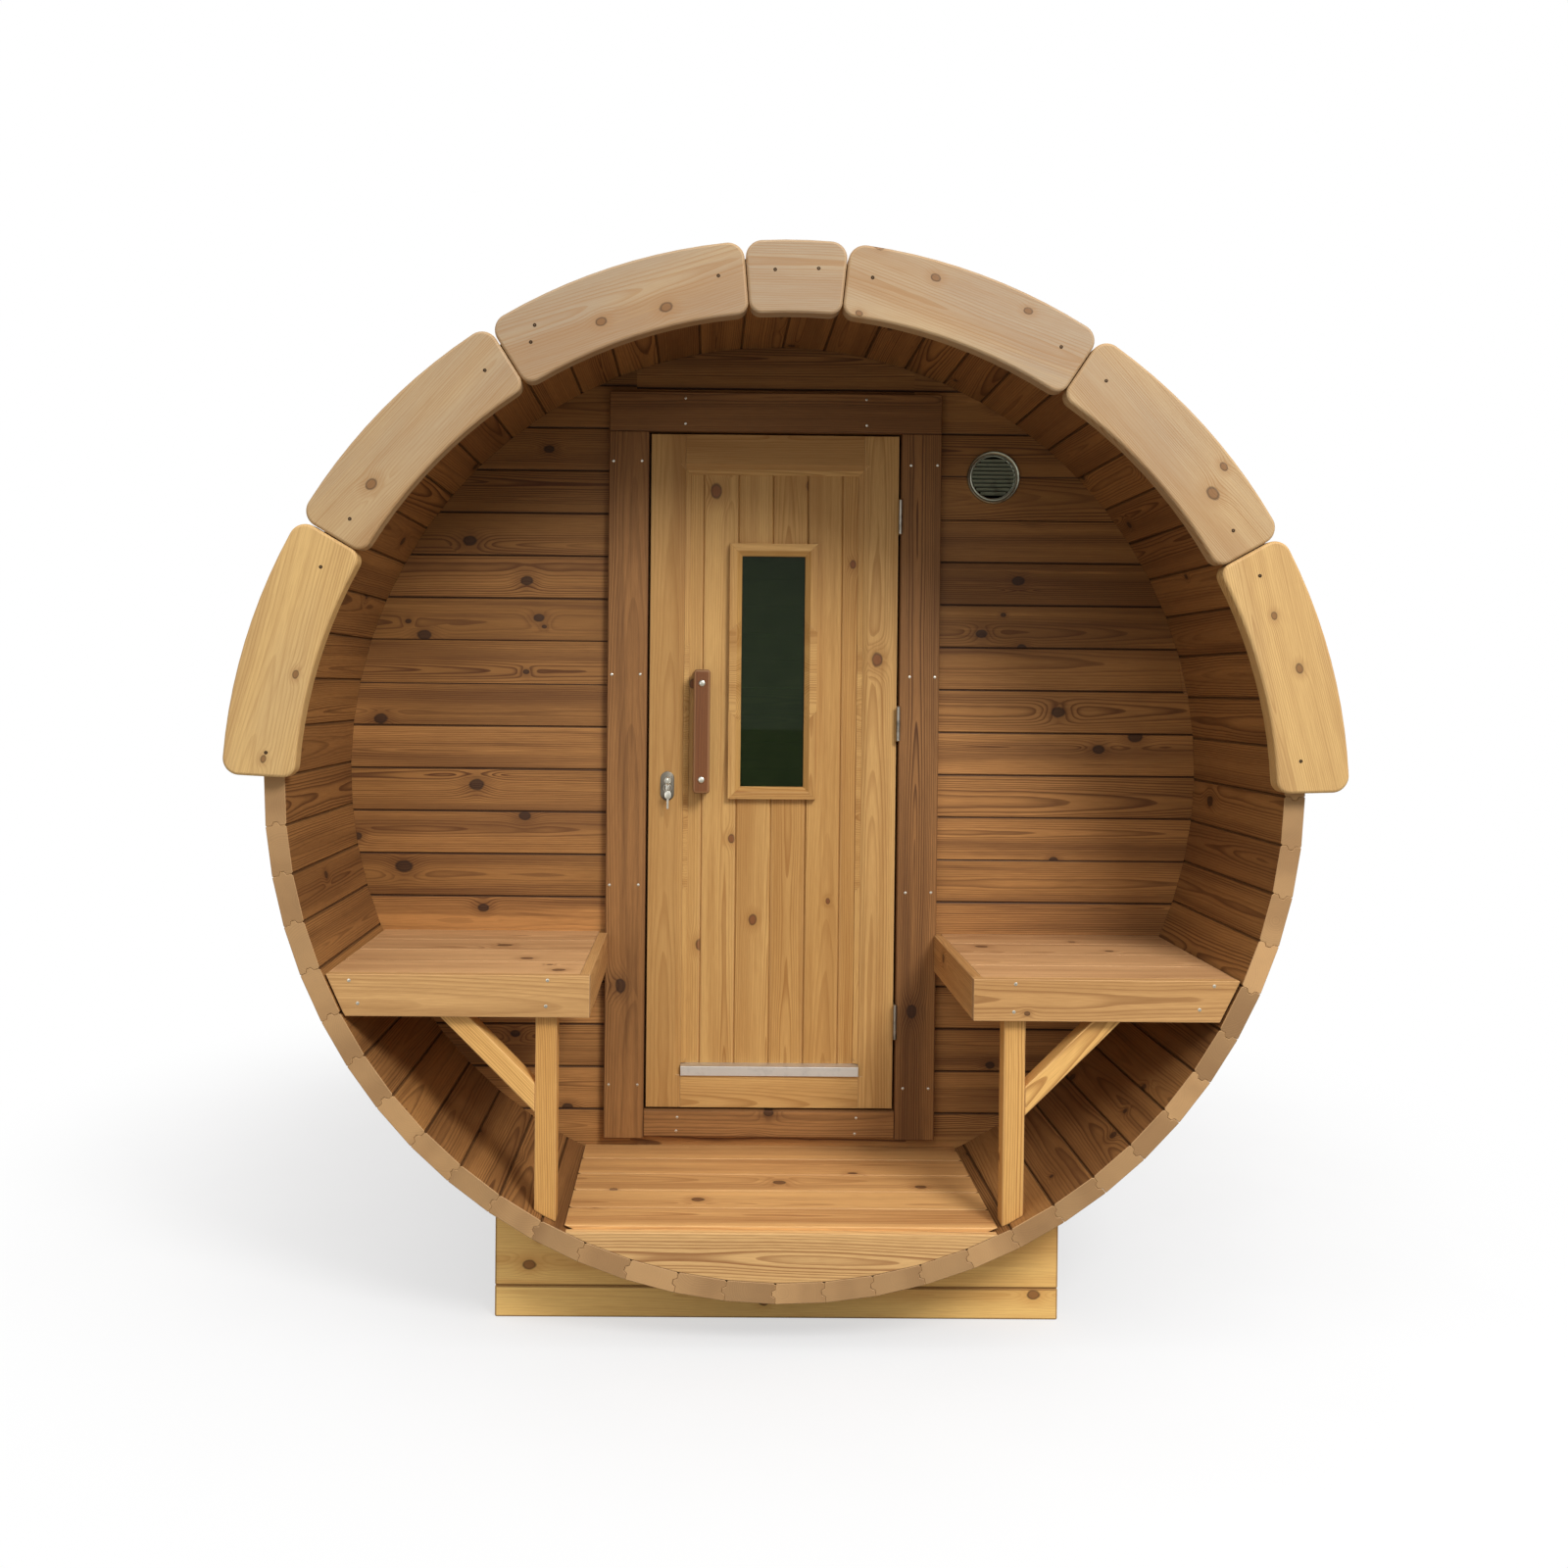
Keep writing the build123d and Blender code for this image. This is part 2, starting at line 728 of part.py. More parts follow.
write("door_frame", door_frame())
write("door_casing", door_casing())
write("hinges_frame", group([frame_hinge(height) for height in hinge_heights()]))

write("door_stiles", door_stiles())
write("door_rails", door_rails())
write("door_panel", door_panel())
write("door_mouldings", door_mouldings())
write("door_glass", door_glass())
write("door_drip", door_drip())
write("door_handle", door_handle())
write("door_lock", door_lock())
write("hinges_leaf", group([leaf_hinge(height) for height in hinge_heights()]))

for name, side in (("left", -1), ("right", 1)):
    write(f"bench_seat_{name}", bench_seat(side))
    write(f"bench_frame_{name}", bench_frame(side))
    write(f"bench_leg_{name}", bench_leg(side))
    write(f"bench_brace_{name}", bench_brace(side))

write("cradle_front", cradle(cradle_inset))
write("cradle_rear", cradle(barrel_length - cradle_inset - cradle_thickness))
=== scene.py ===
import json
import math
import random

import bmesh
import bpy
from mathutils import Matrix, Vector


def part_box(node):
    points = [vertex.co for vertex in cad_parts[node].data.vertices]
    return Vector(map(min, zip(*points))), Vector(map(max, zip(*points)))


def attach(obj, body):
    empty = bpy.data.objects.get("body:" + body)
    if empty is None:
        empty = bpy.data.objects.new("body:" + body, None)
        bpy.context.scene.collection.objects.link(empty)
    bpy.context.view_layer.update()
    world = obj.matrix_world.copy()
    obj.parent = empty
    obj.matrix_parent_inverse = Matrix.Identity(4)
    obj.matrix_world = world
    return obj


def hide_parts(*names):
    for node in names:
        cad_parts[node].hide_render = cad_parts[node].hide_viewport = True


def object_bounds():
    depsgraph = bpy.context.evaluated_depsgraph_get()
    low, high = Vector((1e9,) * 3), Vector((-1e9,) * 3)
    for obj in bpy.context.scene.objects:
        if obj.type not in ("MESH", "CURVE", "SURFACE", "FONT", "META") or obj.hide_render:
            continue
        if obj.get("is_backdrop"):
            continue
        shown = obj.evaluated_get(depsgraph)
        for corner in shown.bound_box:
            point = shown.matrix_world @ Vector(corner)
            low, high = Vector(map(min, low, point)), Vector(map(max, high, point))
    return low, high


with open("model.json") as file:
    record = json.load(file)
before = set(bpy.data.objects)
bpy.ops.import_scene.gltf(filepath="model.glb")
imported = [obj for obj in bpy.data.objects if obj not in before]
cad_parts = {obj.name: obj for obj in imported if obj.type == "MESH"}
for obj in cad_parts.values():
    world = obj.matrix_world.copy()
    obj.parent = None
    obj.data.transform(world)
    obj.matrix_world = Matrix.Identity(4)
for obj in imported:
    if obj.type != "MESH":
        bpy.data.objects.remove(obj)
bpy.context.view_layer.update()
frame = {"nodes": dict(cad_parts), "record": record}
print("frame loaded,", len(frame["nodes"]), "nodes")

mm = 0.001
tiny = 0.01 * mm  # two places nearer than this count as one
rearLow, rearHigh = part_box("rear_wall")
staveLow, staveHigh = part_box("stave_shell_1")
axisZ = (rearLow.z + rearHigh.z) / 2  # height of the barrel's own axis
frontY, backY = staveLow.y, staveHigh.y  # where the staves begin and end
barrelRadius = 1.0
towardsFront = (0, -1, 0)


def clamp(value, low=0.0, high=1.0):
    return max(low, min(high, value))


def showObject(name, data):
    made = bpy.data.objects.new(name, data)
    bpy.context.scene.collection.objects.link(made)
    return made


class Wire:  # one socket of a material, so that shader maths reads as plain sums
    def __init__(self, tree, socket=None):
        self.tree, self.socket = tree, socket

    def add(self, kind, settings=None, values=None, output=0):
        made = self.tree.nodes.new("ShaderNode" + kind)
        for name, value in (settings or {}).items():
            if name == "stops":
                setStops(made.color_ramp, value)
            else:
                setattr(made, name, value)
        for name, value in (values or {}).items():
            if isinstance(value, Wire):
                self.tree.links.new(value.socket, made.inputs[name])
            else:
                made.inputs[name].default_value = value
        return Wire(self.tree, made.outputs[output] if len(made.outputs) else None)

    def beside(self, output):  # another output of the same node
        return Wire(self.tree, self.socket.node.outputs[output])

    def maths(self, operation, *others):
        return self.add("Math", {"operation": operation}, dict(enumerate((self, *others))))

    def reflected(self, operation, first):
        return self.add("Math", {"operation": operation}, {0: first, 1: self})

    def __add__(self, other):
        return self.maths("ADD", other)

    __radd__ = __add__

    def __sub__(self, other):
        return self.maths("SUBTRACT", other)

    def __rsub__(self, other):
        return self.reflected("SUBTRACT", other)

    def __mul__(self, other):
        return self.maths("MULTIPLY", other)

    __rmul__ = __mul__

    def __truediv__(self, other):
        return self.maths("DIVIDE", other)

    def __rtruediv__(self, other):
        return self.reflected("DIVIDE", other)

    def parts(self):
        split = self.add("SeparateXYZ", {}, {0: self})
        return [split.beside(name) for name in "XYZ"]

    def point(self, x, y, z=0.0):
        return self.add("CombineXYZ", {}, {0: x, 1: y, 2: z})

    def attribute(self, name, output="Fac"):
        return self.add("Attribute", {"attribute_name": name}, output=output)

    def noise(self, detail=2.0, roughness=0.5, scale=1.0, output="Fac"):
        values = {"Vector": self, "Scale": scale, "Detail": detail, "Roughness": roughness}
        return self.add("TexNoise", {}, values, output)

    def ease(self, low, high):  # smooth step from 0 at low to 1 at high
        values = {"Value": self, "From Min": low, "From Max": high}
        return self.add("MapRange", {"interpolation_type": "SMOOTHSTEP"}, values)

    def blend(self, first, second):  # the first colour at 0, the second at 1
        return self.add("Mix", {"data_type": "RGBA"}, {0: self, 6: first, 7: second}, 2)

    def ramp(self, stops):  # a grey ramp, read as a number
        return self.add("ValToRGB", {"stops": stops}, {0: self})

    def bump(self, strength, distance):
        return self.add("Bump", {}, {"Strength": strength, "Distance": distance, "Height": self}, "Normal")


def setStops(ramp, stops):
    while len(ramp.elements) < len(stops):
        ramp.elements.new(1.0)
    for element, (place, value) in zip(ramp.elements, stops):
        element.position = place
        element.color = (value, value, value, 1.0)


def colour(tint, strength=1.0):  # red, green and blue as seen on a screen, 0 to 255
    def linear(value):
        value = value * strength / 255
        return value / 12.92 if value <= 0.04045 else ((value + 0.055) / 1.055) ** 2.4
    return (*(linear(value) for value in tint), 1.0)


def startMaterial(name):
    material = bpy.data.materials.new(name)
    material.use_nodes = True
    material.node_tree.nodes.clear()
    return material, Wire(material.node_tree)


def endMaterial(wire, values):
    shader = wire.add("BsdfPrincipled", {}, values, "BSDF")
    wire.add("OutputMaterial", {}, {"Surface": shader})


# pine, with rings, knots and fibres laid along each board
pineBasics = {
    "pale": (200, 160, 112), "dark": (150, 100, 58), "other": (190, 140, 90), "end": (188, 152, 112),
    "knot": (92, 52, 28), "edge": (206, 166, 118),
    "ringSpacing": 4.2 * mm, "ringContrast": 0.75, "ringUneven": 9.0 * mm, "ripple": 2.4 * mm,
    "pithSide": 0.07, "pithNear": 0.012, "pithFar": 0.075,  # where the tree's heart lies under the board
    "taper": 0.012, "wanderSide": 0.030, "wanderDepth": 0.040,  # how it strays along the board
    "streaks": 0.30, "bands": 0.45, "toneSpread": 0.55,
    "knotShare": 0.30, "knotAlong": 3.4, "knotAcross": 9.5,  # share of places with a knot, places a metre
    "knotLeast": 3.5 * mm, "knotSpread": 7.0 * mm, "knotRagged": 0.45,
    "edgeShare": 0.22, "jointShadeAndDirt": 0.5, "roughness": 0.58, "bump": 0.35,
}


def pineMaterial(name, **changes):
    look = {**pineBasics, **changes}
    material, wire = startMaterial(name)
    along, across, deep = wire.attribute("grainAt", "Vector").parts()
    luckA, luckB, luckC = wire.attribute("boardLuck", "Vector").parts()
    knotAlong, knotAcross, knotRadius = wire.attribute("knotAt", "Vector").parts()
    endGrain = wire.attribute("endGrain")
    eased = wire.attribute("easedEdge")

    # the tree's heart wanders under the board, which draws the long flames of flat-sawn pine
    wanderAt = wire.point(along * 1.1 + luckA * 91.0, luckB * 57.0, luckC * 13.0)
    wanderSide, wanderDepth, wanderTone = wanderAt.noise(2.0, 0.45, output="Color").parts()
    heartSide = (luckA - 0.5) * look["pithSide"] + (wanderSide - 0.5) * look["wanderSide"]
    heartDepth = luckB * (look["pithFar"] - look["pithNear"]) + look["pithNear"]
    heartDepth = heartDepth + (wanderDepth - 0.5) * look["wanderDepth"] + along * look["taper"]
    ripple = wire.point(along * 7.0 + luckC * 31.0, across * 30.0, deep * 30.0).noise()
    sideAway, depthAway = across - heartSide, deep + heartDepth
    fromHeart = (sideAway * sideAway + depthAway * depthAway).maths("SQRT")
    fromHeart = fromHeart + (ripple - 0.5) * look["ripple"]

    # knots: a scatter over each board, and one at a chosen spot where the board has it
    placeX = along * look["knotAlong"] + luckB * 40.0
    placeY = across * look["knotAcross"] + luckC * 23.0
    cellValues = {"Vector": wire.point(placeX, placeY), "Scale": 1.0, "Randomness": 0.85}
    cell = wire.add("TexVoronoi", {"voronoi_dimensions": "2D"}, cellValues, "Position")
    cellX, cellY, _ = cell.parts()
    knotLuck, knotSize, _ = cell.beside("Color").parts()
    wobble = wire.point(along * 60.0, across * 60.0, deep * 20.0).noise()

    def knotParts(alongAway, acrossAway, radius, on):
        squeezed = alongAway * 0.72  # a knot is longer along the board
        away = (squeezed * squeezed + acrossAway * acrossAway).maths("SQRT")
        knot = away / (radius + 0.1 * mm) + (wobble - 0.5) * look["knotRagged"]  # 1 at the knot's edge
        swell = (knot * knot * -0.16).maths("EXPONENT") * radius * on * 1.5  # rings part round a knot
        core = (1.0 - knot.ease(0.80, 1.12)) * on
        rim = knot.ease(0.72, 0.98) * (1.0 - knot.ease(0.98, 1.35)) * on
        glow = (1.0 - knot.ease(1.0, 3.6)) * on
        return swell, core, rim, glow

    swellA, coreA, rimA, glowA = knotParts(
        (placeX - cellX) * (1 / look["knotAlong"]), (placeY - cellY) * (1 / look["knotAcross"]),
        knotSize * look["knotSpread"] + look["knotLeast"], knotLuck.maths("LESS_THAN", look["knotShare"]))
    swellB, coreB, rimB, glowB = knotParts(
        along - knotAlong, across - knotAcross, knotRadius, knotRadius.maths("GREATER_THAN", 1 * mm))
    fromHeart = fromHeart + swellA + swellB
    knotCore, knotRim, knotGlow = coreA.maths("MAXIMUM", coreB), rimA + rimB, glowA + glowB

    # growth rings: slow pale wood, then a sharp dark line, in years of uneven width
    uneven = wire.point(fromHeart * 70.0, luckA * 17.0).noise(1.0)
    years = (fromHeart + (uneven - 0.5) * look["ringUneven"]) / look["ringSpacing"]
    late = years.maths("FRACT").ramp([(0.0, 0.10), (0.45, 0.12), (0.86, 1.0), (0.97, 0.85), (1.0, 0.10)])
    strong = wire.point(fromHeart * 28.0, luckC * 17.0).noise(1.0).ease(0.30, 0.68)
    late = late * (strong * 0.75 + 0.25)

    streak = wire.point(along * 1.6 + luckA * 9.0, across * 55.0, deep * 55.0).noise(4.0, 0.62)
    fibre = wire.point(along * 22.0, across * 700.0, deep * 700.0 + luckB * 9.0).noise(2.0, 0.6)
    cloud = wire.point(along * 2.2 + luckC * 5.0, across * 7.0, luckA * 5.0).noise()
    band = wire.point(along * 0.7 + luckB * 27.0, across * 16.0 + luckA * 5.0, deep * 16.0).noise()

    tone = luckC * look["toneSpread"] + (wanderTone - 0.5) * 0.7 + (cloud - 0.5) * 0.9
    pale, dark = colour(look["pale"]), colour(look["dark"])
    base = tone.maths("MINIMUM", 1.0).maths("MAXIMUM", 0.0).blend(pale, colour(look["other"]))
    sawn = luckA.blend(colour(look["end"], 0.84), colour(look["end"]))
    sawn = (cloud.ease(0.40, 0.65) * 0.35).blend(sawn, dark)
    coats = [
        (band.ease(0.46, 0.72) * look["bands"], dark),
        (late * look["ringContrast"], dark),
        (streak.ease(0.48, 0.85) * look["streaks"], dark),
        ((1.0 - streak.ease(0.20, 0.42)) * (look["streaks"] * 0.8), pale),
        ((fibre - 0.5) * 0.8 + 0.12, dark),
        (knotGlow * 0.35, dark),
        (knotCore * 0.80, colour(look["knot"])),
        (knotRim * 0.70, colour(look["knot"], 0.55)),
        (endGrain * 0.78, sawn),
        (eased * look["edgeShare"], colour(look["edge"])),
        (eased * -look["jointShadeAndDirt"], colour(look["dark"], 0.5)),  # the chamfers between staves are marked -1 and take painted shade and dirt
    ]
    for share, shade in coats:
        base = share.blend(base, shade)

    height = late * -0.35 + fibre * 0.5 + streak * 0.35 + knotCore * 0.5 - knotRim * 0.4
    rough = fibre * 0.14 + late * 0.10 + (look["roughness"] - 0.08) + endGrain * 0.15
    endMaterial(wire, {"Base Color": base, "Roughness": rough, "Specular IOR Level": 0.32,
                       "Normal": height.bump(look["bump"], 0.7 * mm)})
    return material


woods = {
    "stave": dict(pale=(172, 122, 68), dark=(82, 46, 18), other=(136, 92, 50), end=(204, 162, 112),
                  knot=(50, 28, 16), edge=(190, 152, 106), edgeShare=0.7, streaks=0.6, ringContrast=0.95,
                  toneSpread=0.85),
    "arch": dict(pale=(214, 176, 114), dark=(152, 108, 62), other=(166, 146, 120), end=(196, 158, 108),
                 knot=(122, 82, 44), knotShare=0.42, streaks=0.35, ringContrast=0.60, ringSpacing=4.0 * mm,
                 toneSpread=1.0),
    # walls: the near-black edge colour on the chamfered joints is painted shade in the V joints
    "wall": dict(pale=(202, 144, 82), dark=(88, 50, 22), other=(140, 96, 46), end=(160, 120, 74),
                 knot=(44, 24, 14), knotShare=0.24, edge=(48, 26, 12), edgeShare=0.8, streaks=0.75,
                 ringContrast=1.0, toneSpread=0.9, bands=0.55),
    "casing": dict(pale=(172, 122, 70), dark=(78, 44, 18), other=(124, 80, 38), end=(150, 104, 62),
                   knot=(52, 28, 14), edge=(84, 50, 24), edgeShare=0.5, streaks=0.6, ringContrast=0.95),
    "door": dict(pale=(214, 170, 104), dark=(150, 98, 42), other=(190, 142, 78), end=(196, 150, 96),
                 knot=(112, 58, 28), knotShare=0.14, streaks=0.60, ringContrast=0.75, roughness=0.48),
    "leaf": dict(pale=(212, 168, 104), dark=(146, 96, 42), other=(172, 126, 68), knot=(112, 58, 28),
                 knotShare=0.10, streaks=0.60, ringContrast=0.70, roughness=0.48),
    "deck": dict(pale=(232, 182, 116), dark=(146, 92, 48), other=(210, 156, 96), knot=(88, 50, 28),
                 streaks=0.45, ringContrast=0.8),
    "bench": dict(pale=(208, 162, 104), dark=(132, 86, 42), other=(186, 136, 80), knot=(92, 56, 30),
                  knotShare=0.24, streaks=0.40, ringContrast=0.7),
    "seat": dict(pale=(228, 180, 126), dark=(140, 94, 52), other=(182, 134, 92), knot=(92, 56, 30),
                 knotShare=0.24, streaks=0.45, ringContrast=0.8),
    "skirt": dict(pale=(232, 190, 130), dark=(126, 70, 28), other=(222, 176, 114), knot=(150, 92, 50),
                  streaks=0.15, ringContrast=1.0, ringSpacing=6.0 * mm, bands=0.1, pithFar=0.03,
                  wanderSide=0.05, wanderDepth=0.09),
    "pale": dict(pale=(238, 188, 112), dark=(158, 102, 46), other=(206, 152, 82), end=(206, 166, 104),
                 knotShare=0.26, streaks=0.35, ringContrast=0.9, bands=0.25),
    "cradle": dict(pale=(255, 212, 130), dark=(206, 140, 70), other=(254, 200, 118), end=(206, 166, 98),
                   knot=(128, 76, 36), knotShare=0.5, edge=(120, 78, 38), edgeShare=0.65, streaks=0.60,
                   ringContrast=0.50, bands=0.40, roughness=0.7, bump=0.8),
    "handle": dict(pale=(134, 84, 46), dark=(82, 44, 22), other=(116, 70, 38), end=(88, 48, 24),
                   knotShare=0.0, ringContrast=0.6, roughness=0.42),
}
materials = {name: pineMaterial(name + "Wood", **look) for name, look in woods.items()}
print("wood materials made")


def metalMaterial(name, tint, roughness, brushed, stain):
    material, wire = startMaterial(name)
    place = wire.add("TexCoord", {}, output="Object")
    x, y, z = place.parts()
    brush = wire.point(x * 900.0, y * 900.0, z * 60.0).noise()
    spots = place.noise(4.0, 0.6, 45.0)
    base = spots.ease(0.45, 0.75).blend(colour(tint), colour(tint, stain))
    rough = brush * brushed + spots * 0.12 + (roughness - brushed / 2)
    endMaterial(wire, {"Base Color": base, "Metallic": 1.0, "Roughness": rough,
                       "Normal": brush.bump(0.12, 0.1 * mm)})
    return material


metals = {  # name, colour, roughness, how far brushing varies it, strength of the colour in stains
    "steel": ("zincSteel", (166, 160, 148), 0.34, 0.10, 0.72),
    "bright": ("brightScrew", (226, 222, 208), 0.25, 0.06, 0.85),
    "darkScrew": ("darkScrew", (74, 58, 44), 0.55, 0.10, 0.70),
    "vent": ("ventAluminium", (176, 178, 160), 0.28, 0.06, 0.80),
    "ventDark": ("ventSlats", (128, 132, 114), 0.62, 0.10, 0.75),
    "drip": ("dripAluminium", (232, 232, 228), 0.36, 0.10, 0.94),
    "lock": ("lockPlate", (124, 118, 106), 0.38, 0.08, 0.70),
}
for name, look in metals.items():
    materials[name] = metalMaterial(*look)


def glassMaterial():
    material, wire = startMaterial("windowGlass")
    dustAndReflection = wire.add("TexCoord", {}, output="Object").noise(4.0, 0.6, 14.0)
    # painted reflection: the pane is tinted green for the greenery mirrored in it, the two greens mottled by
    # the same noise as the dust
    tint = dustAndReflection.ease(0.3, 0.8).blend(colour((96, 118, 70)), colour((80, 104, 58)))
    rough = dustAndReflection.ease(0.45, 0.8) * 0.05 + 0.01
    endMaterial(wire, {"Base Color": tint, "Roughness": rough, "Transmission Weight": 0.9, "IOR": 1.22})
    return material


def shingleMaterial():
    material, wire = startMaterial("roofShingle")
    place = wire.add("TexCoord", {}, output="Object")
    grit, patch = place.noise(2.0, 0.7, 520.0), place.noise(3.0, 0.6, 9.0)
    base = wire.attribute("tabLuck").blend(colour((66, 62, 60)), colour((92, 86, 82)))
    base = grit.ease(0.42, 0.66).blend(base, colour((128, 122, 116)))
    base = (patch.ease(0.55, 0.8) * 0.4).blend(base, colour((48, 46, 44)))
    endMaterial(wire, {"Base Color": base, "Roughness": grit * 0.1 + 0.85,
                       "Normal": grit.bump(0.8, 1.2 * mm)})
    return material


materials["glass"] = glassMaterial()
materials["shingle"] = shingleMaterial()
print("metal, glass and roof materials made")


# boards: each CAD solid becomes one or more real boards, eased and given its own grain
def islandBoards(node):
    whole = bmesh.new()
    whole.from_mesh(frame["nodes"][node].data)
    bmesh.ops.remove_doubles(whole, verts=whole.verts, dist=tiny)
    bmesh.ops.dissolve_limit(whole, angle_limit=math.radians(0.6), verts=whole.verts, edges=whole.edges)
    whole.verts.index_update()
    owner, boards = {}, []
    for start in whole.verts:
        if start.index in owner:
            continue
        number, queue = len(boards), [start]
        owner[start.index] = number
        while queue:
            for edge in queue.pop().link_edges:
                for vert in edge.verts:
                    if vert.index not in owner:
                        owner[vert.index] = number
                        queue.append(vert)
        boards.append(bmesh.new())
    copies = {}
    for vert in whole.verts:
        copies[vert.index] = boards[owner[vert.index]].verts.new(vert.co)
    for face in whole.faces:
        boards[owner[face.verts[0].index]].faces.new([copies[v.index] for v in face.verts])
    whole.free()
    for board in boards:
        board.normal_update()
    return boards


def cornersOf(board):
    low = Vector([min(v.co[i] for v in board.verts) for i in range(3)])
    high = Vector([max(v.co[i] for v in board.verts) for i in range(3)])
    return low, high


def middleOf(board):
    return sum((v.co for v in board.verts), Vector()) / len(board.verts)


def span(edge, axis):
    return abs(edge.verts[0].co[axis] - edge.verts[1].co[axis])


def splitBoard(board, point, normal, **clear):
    geometry = board.verts[:] + board.edges[:] + board.faces[:]
    bmesh.ops.bisect_plane(board, geom=geometry, dist=0.1 * tiny, plane_co=point, plane_no=normal, **clear)


def cutBoards(boards, point, normal, gap=0.15 * mm):
    made, point, normal = [], Vector(point), Vector(normal).normalized()
    for board in boards:
        sides = [(v.co - point).dot(normal) for v in board.verts]
        if min(sides) > -0.5 * mm or max(sides) < 0.5 * mm:  # the cut would leave nothing on one side
            made.append(board)
            continue
        for side in (-1, 1):
            half = board.copy()
            place = point + normal * (side * gap / 2)
            splitBoard(half, place, normal, clear_outer=side < 0, clear_inner=side > 0)
            openEdges = [edge for edge in half.edges if edge.is_boundary]
            bmesh.ops.holes_fill(half, edges=openEdges, sides=0)
            half.normal_update()
            made.append(half)
        board.free()
    return made


def easedLayer(board):  # says which faces are eased edges, 1, or stave chamfers, -1, which take painted shade and dirt
    layers = board.faces.layers.float
    return layers.get("easedEdge") or layers.new("easedEdge")


def easeEdges(board, width, segments=2, smallest=25.0, chosen=lambda edge: True):
    layer, sharp = easedLayer(board), math.radians(smallest)
    edges = [edge for edge in board.edges
             if len(edge.link_faces) == 2 and edge.calc_face_angle(0.0) > sharp and chosen(edge)]
    made = bmesh.ops.bevel(board, geom=edges, offset=width, offset_type="OFFSET", segments=segments,
                           profile=0.5, affect="EDGES", clamp_overlap=True)
    for face in made["faces"]:
        face[layer] = 1.0


# a board's grain: its middle, then the directions along it, across it and into its thickness
def straightGrain(board):
    low, high = cornersOf(board)
    size = high - low
    order = sorted(range(3), key=lambda i: -size[i])
    axes = [Vector([1.0 if i == j else 0.0 for j in range(3)]) for i in order]
    if order[2] == 2:
        axes[2] = -axes[2]
    return (low + high) / 2, axes


def roundTheBarrel(board):
    low, high = cornersOf(board)
    middle = middleOf(board)
    outward = Vector((middle.x, 0.0, middle.z - axisZ)).normalized()
    middle.y = (low.y + high.y) / 2
    return middle, Vector((outward.z, 0.0, -outward.x)), outward


def staveGrain(board):
    middle, tangent, outward = roundTheBarrel(board)
    return middle, [Vector((0.0, 1.0, 0.0)), tangent, outward]


def archGrain(board):
    middle, tangent, outward = roundTheBarrel(board)
    return middle, [tangent, outward, Vector((0.0, 1.0, 0.0))]


def slantGrain(board):
    longest = max(board.edges, key=lambda edge: edge.calc_length())
    along = (longest.verts[1].co - longest.verts[0].co).normalized()
    if along.z < 0:
        along = -along
    return middleOf(board), [along, Vector((-along.z, 0.0, along.x)), Vector((0.0, 1.0, 0.0))]


class Pile:  # gathers boards into one mesh with its grain attributes
    def __init__(self, name):
        self.name, self.luck = name, random.Random(name)
        self.points, self.faces = [], []
        self.perPoint = {"grainAt": [], "boardLuck": [], "knotAt": []}
        self.perFace = {"endGrain": [], "easedEdge": []}

    def addBoard(self, board, grain, knots=(), tone=None):
        middle, axes = grain
        luck = [self.luck.random() for _ in range(3)]
        if tone:
            luck[2] = tone(middle)
        low, high = cornersOf(board)
        knotAt = (0.0, 0.0, 0.0)
        for x, z, radius in knots:
            if low.x < x < high.x and low.z < z < high.z:
                away = Vector((x, middle.y, z)) - middle
                knotAt = (away.dot(axes[0]), away.dot(axes[1]), radius)
        start, eased = len(self.points), easedLayer(board)
        board.verts.index_update()
        board.normal_update()
        for vert in board.verts:
            away = vert.co - middle
            self.points.append(vert.co[:])
            self.perPoint["grainAt"].append([away.dot(axis) for axis in axes])
            self.perPoint["boardLuck"].append(luck)
            self.perPoint["knotAt"].append(knotAt)
        for face in board.faces:
            self.faces.append([start + vert.index for vert in face.verts])
            self.perFace["endGrain"].append(1.0 if abs(face.normal.dot(axes[0])) > 0.75 else 0.0)
            self.perFace["easedEdge"].append(face[eased])
        board.free()

    def finish(self, material):
        mesh = bpy.data.meshes.new(self.name)
        mesh.from_pydata(self.points, [], self.faces)
        for name, rows in self.perPoint.items():
            layer = mesh.attributes.new(name, "FLOAT_VECTOR", "POINT")
            layer.data.foreach_set("vector", [value for row in rows for value in row])
        for name, values in self.perFace.items():
            mesh.attributes.new(name, "FLOAT", "FACE").data.foreach_set("value", values)
        mesh.materials.append(materials[material])
        mesh.validate()
        return showObject(self.name, mesh)


def settle(piece, body, node=None):
    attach(piece, body)
    if node:
        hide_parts(node)


def dressNode(name, node, material, body="cabin", edge=1.5 * mm, segments=2, grain=straightGrain,
              cuts=(), knots=(), shape=None, tone=None):
    boards = islandBoards(node)
    for point, normal in cuts:
        boards = cutBoards(boards, point, normal)
    pile = Pile(name)
    for board in boards:
        grainHere = grain(board)
        if shape:
            shape(board)
        if edge:
            easeEdges(board, edge, segments)
        pile.addBoard(board, grainHere, knots, tone)
    settle(pile.finish(material), body, node)


def knotsAt(rows):  # across and up from the barrel's axis, and radius, all in millimetres
    return [(x * mm, axisZ + z * mm, radius * mm) for x, z, radius in rows]


# staves: grain along the barrel, growth rings showing on the sawn ends
staves = {"shells": 8, "endEdge": 1.0 * mm, "chamferDepth": 3 * mm}


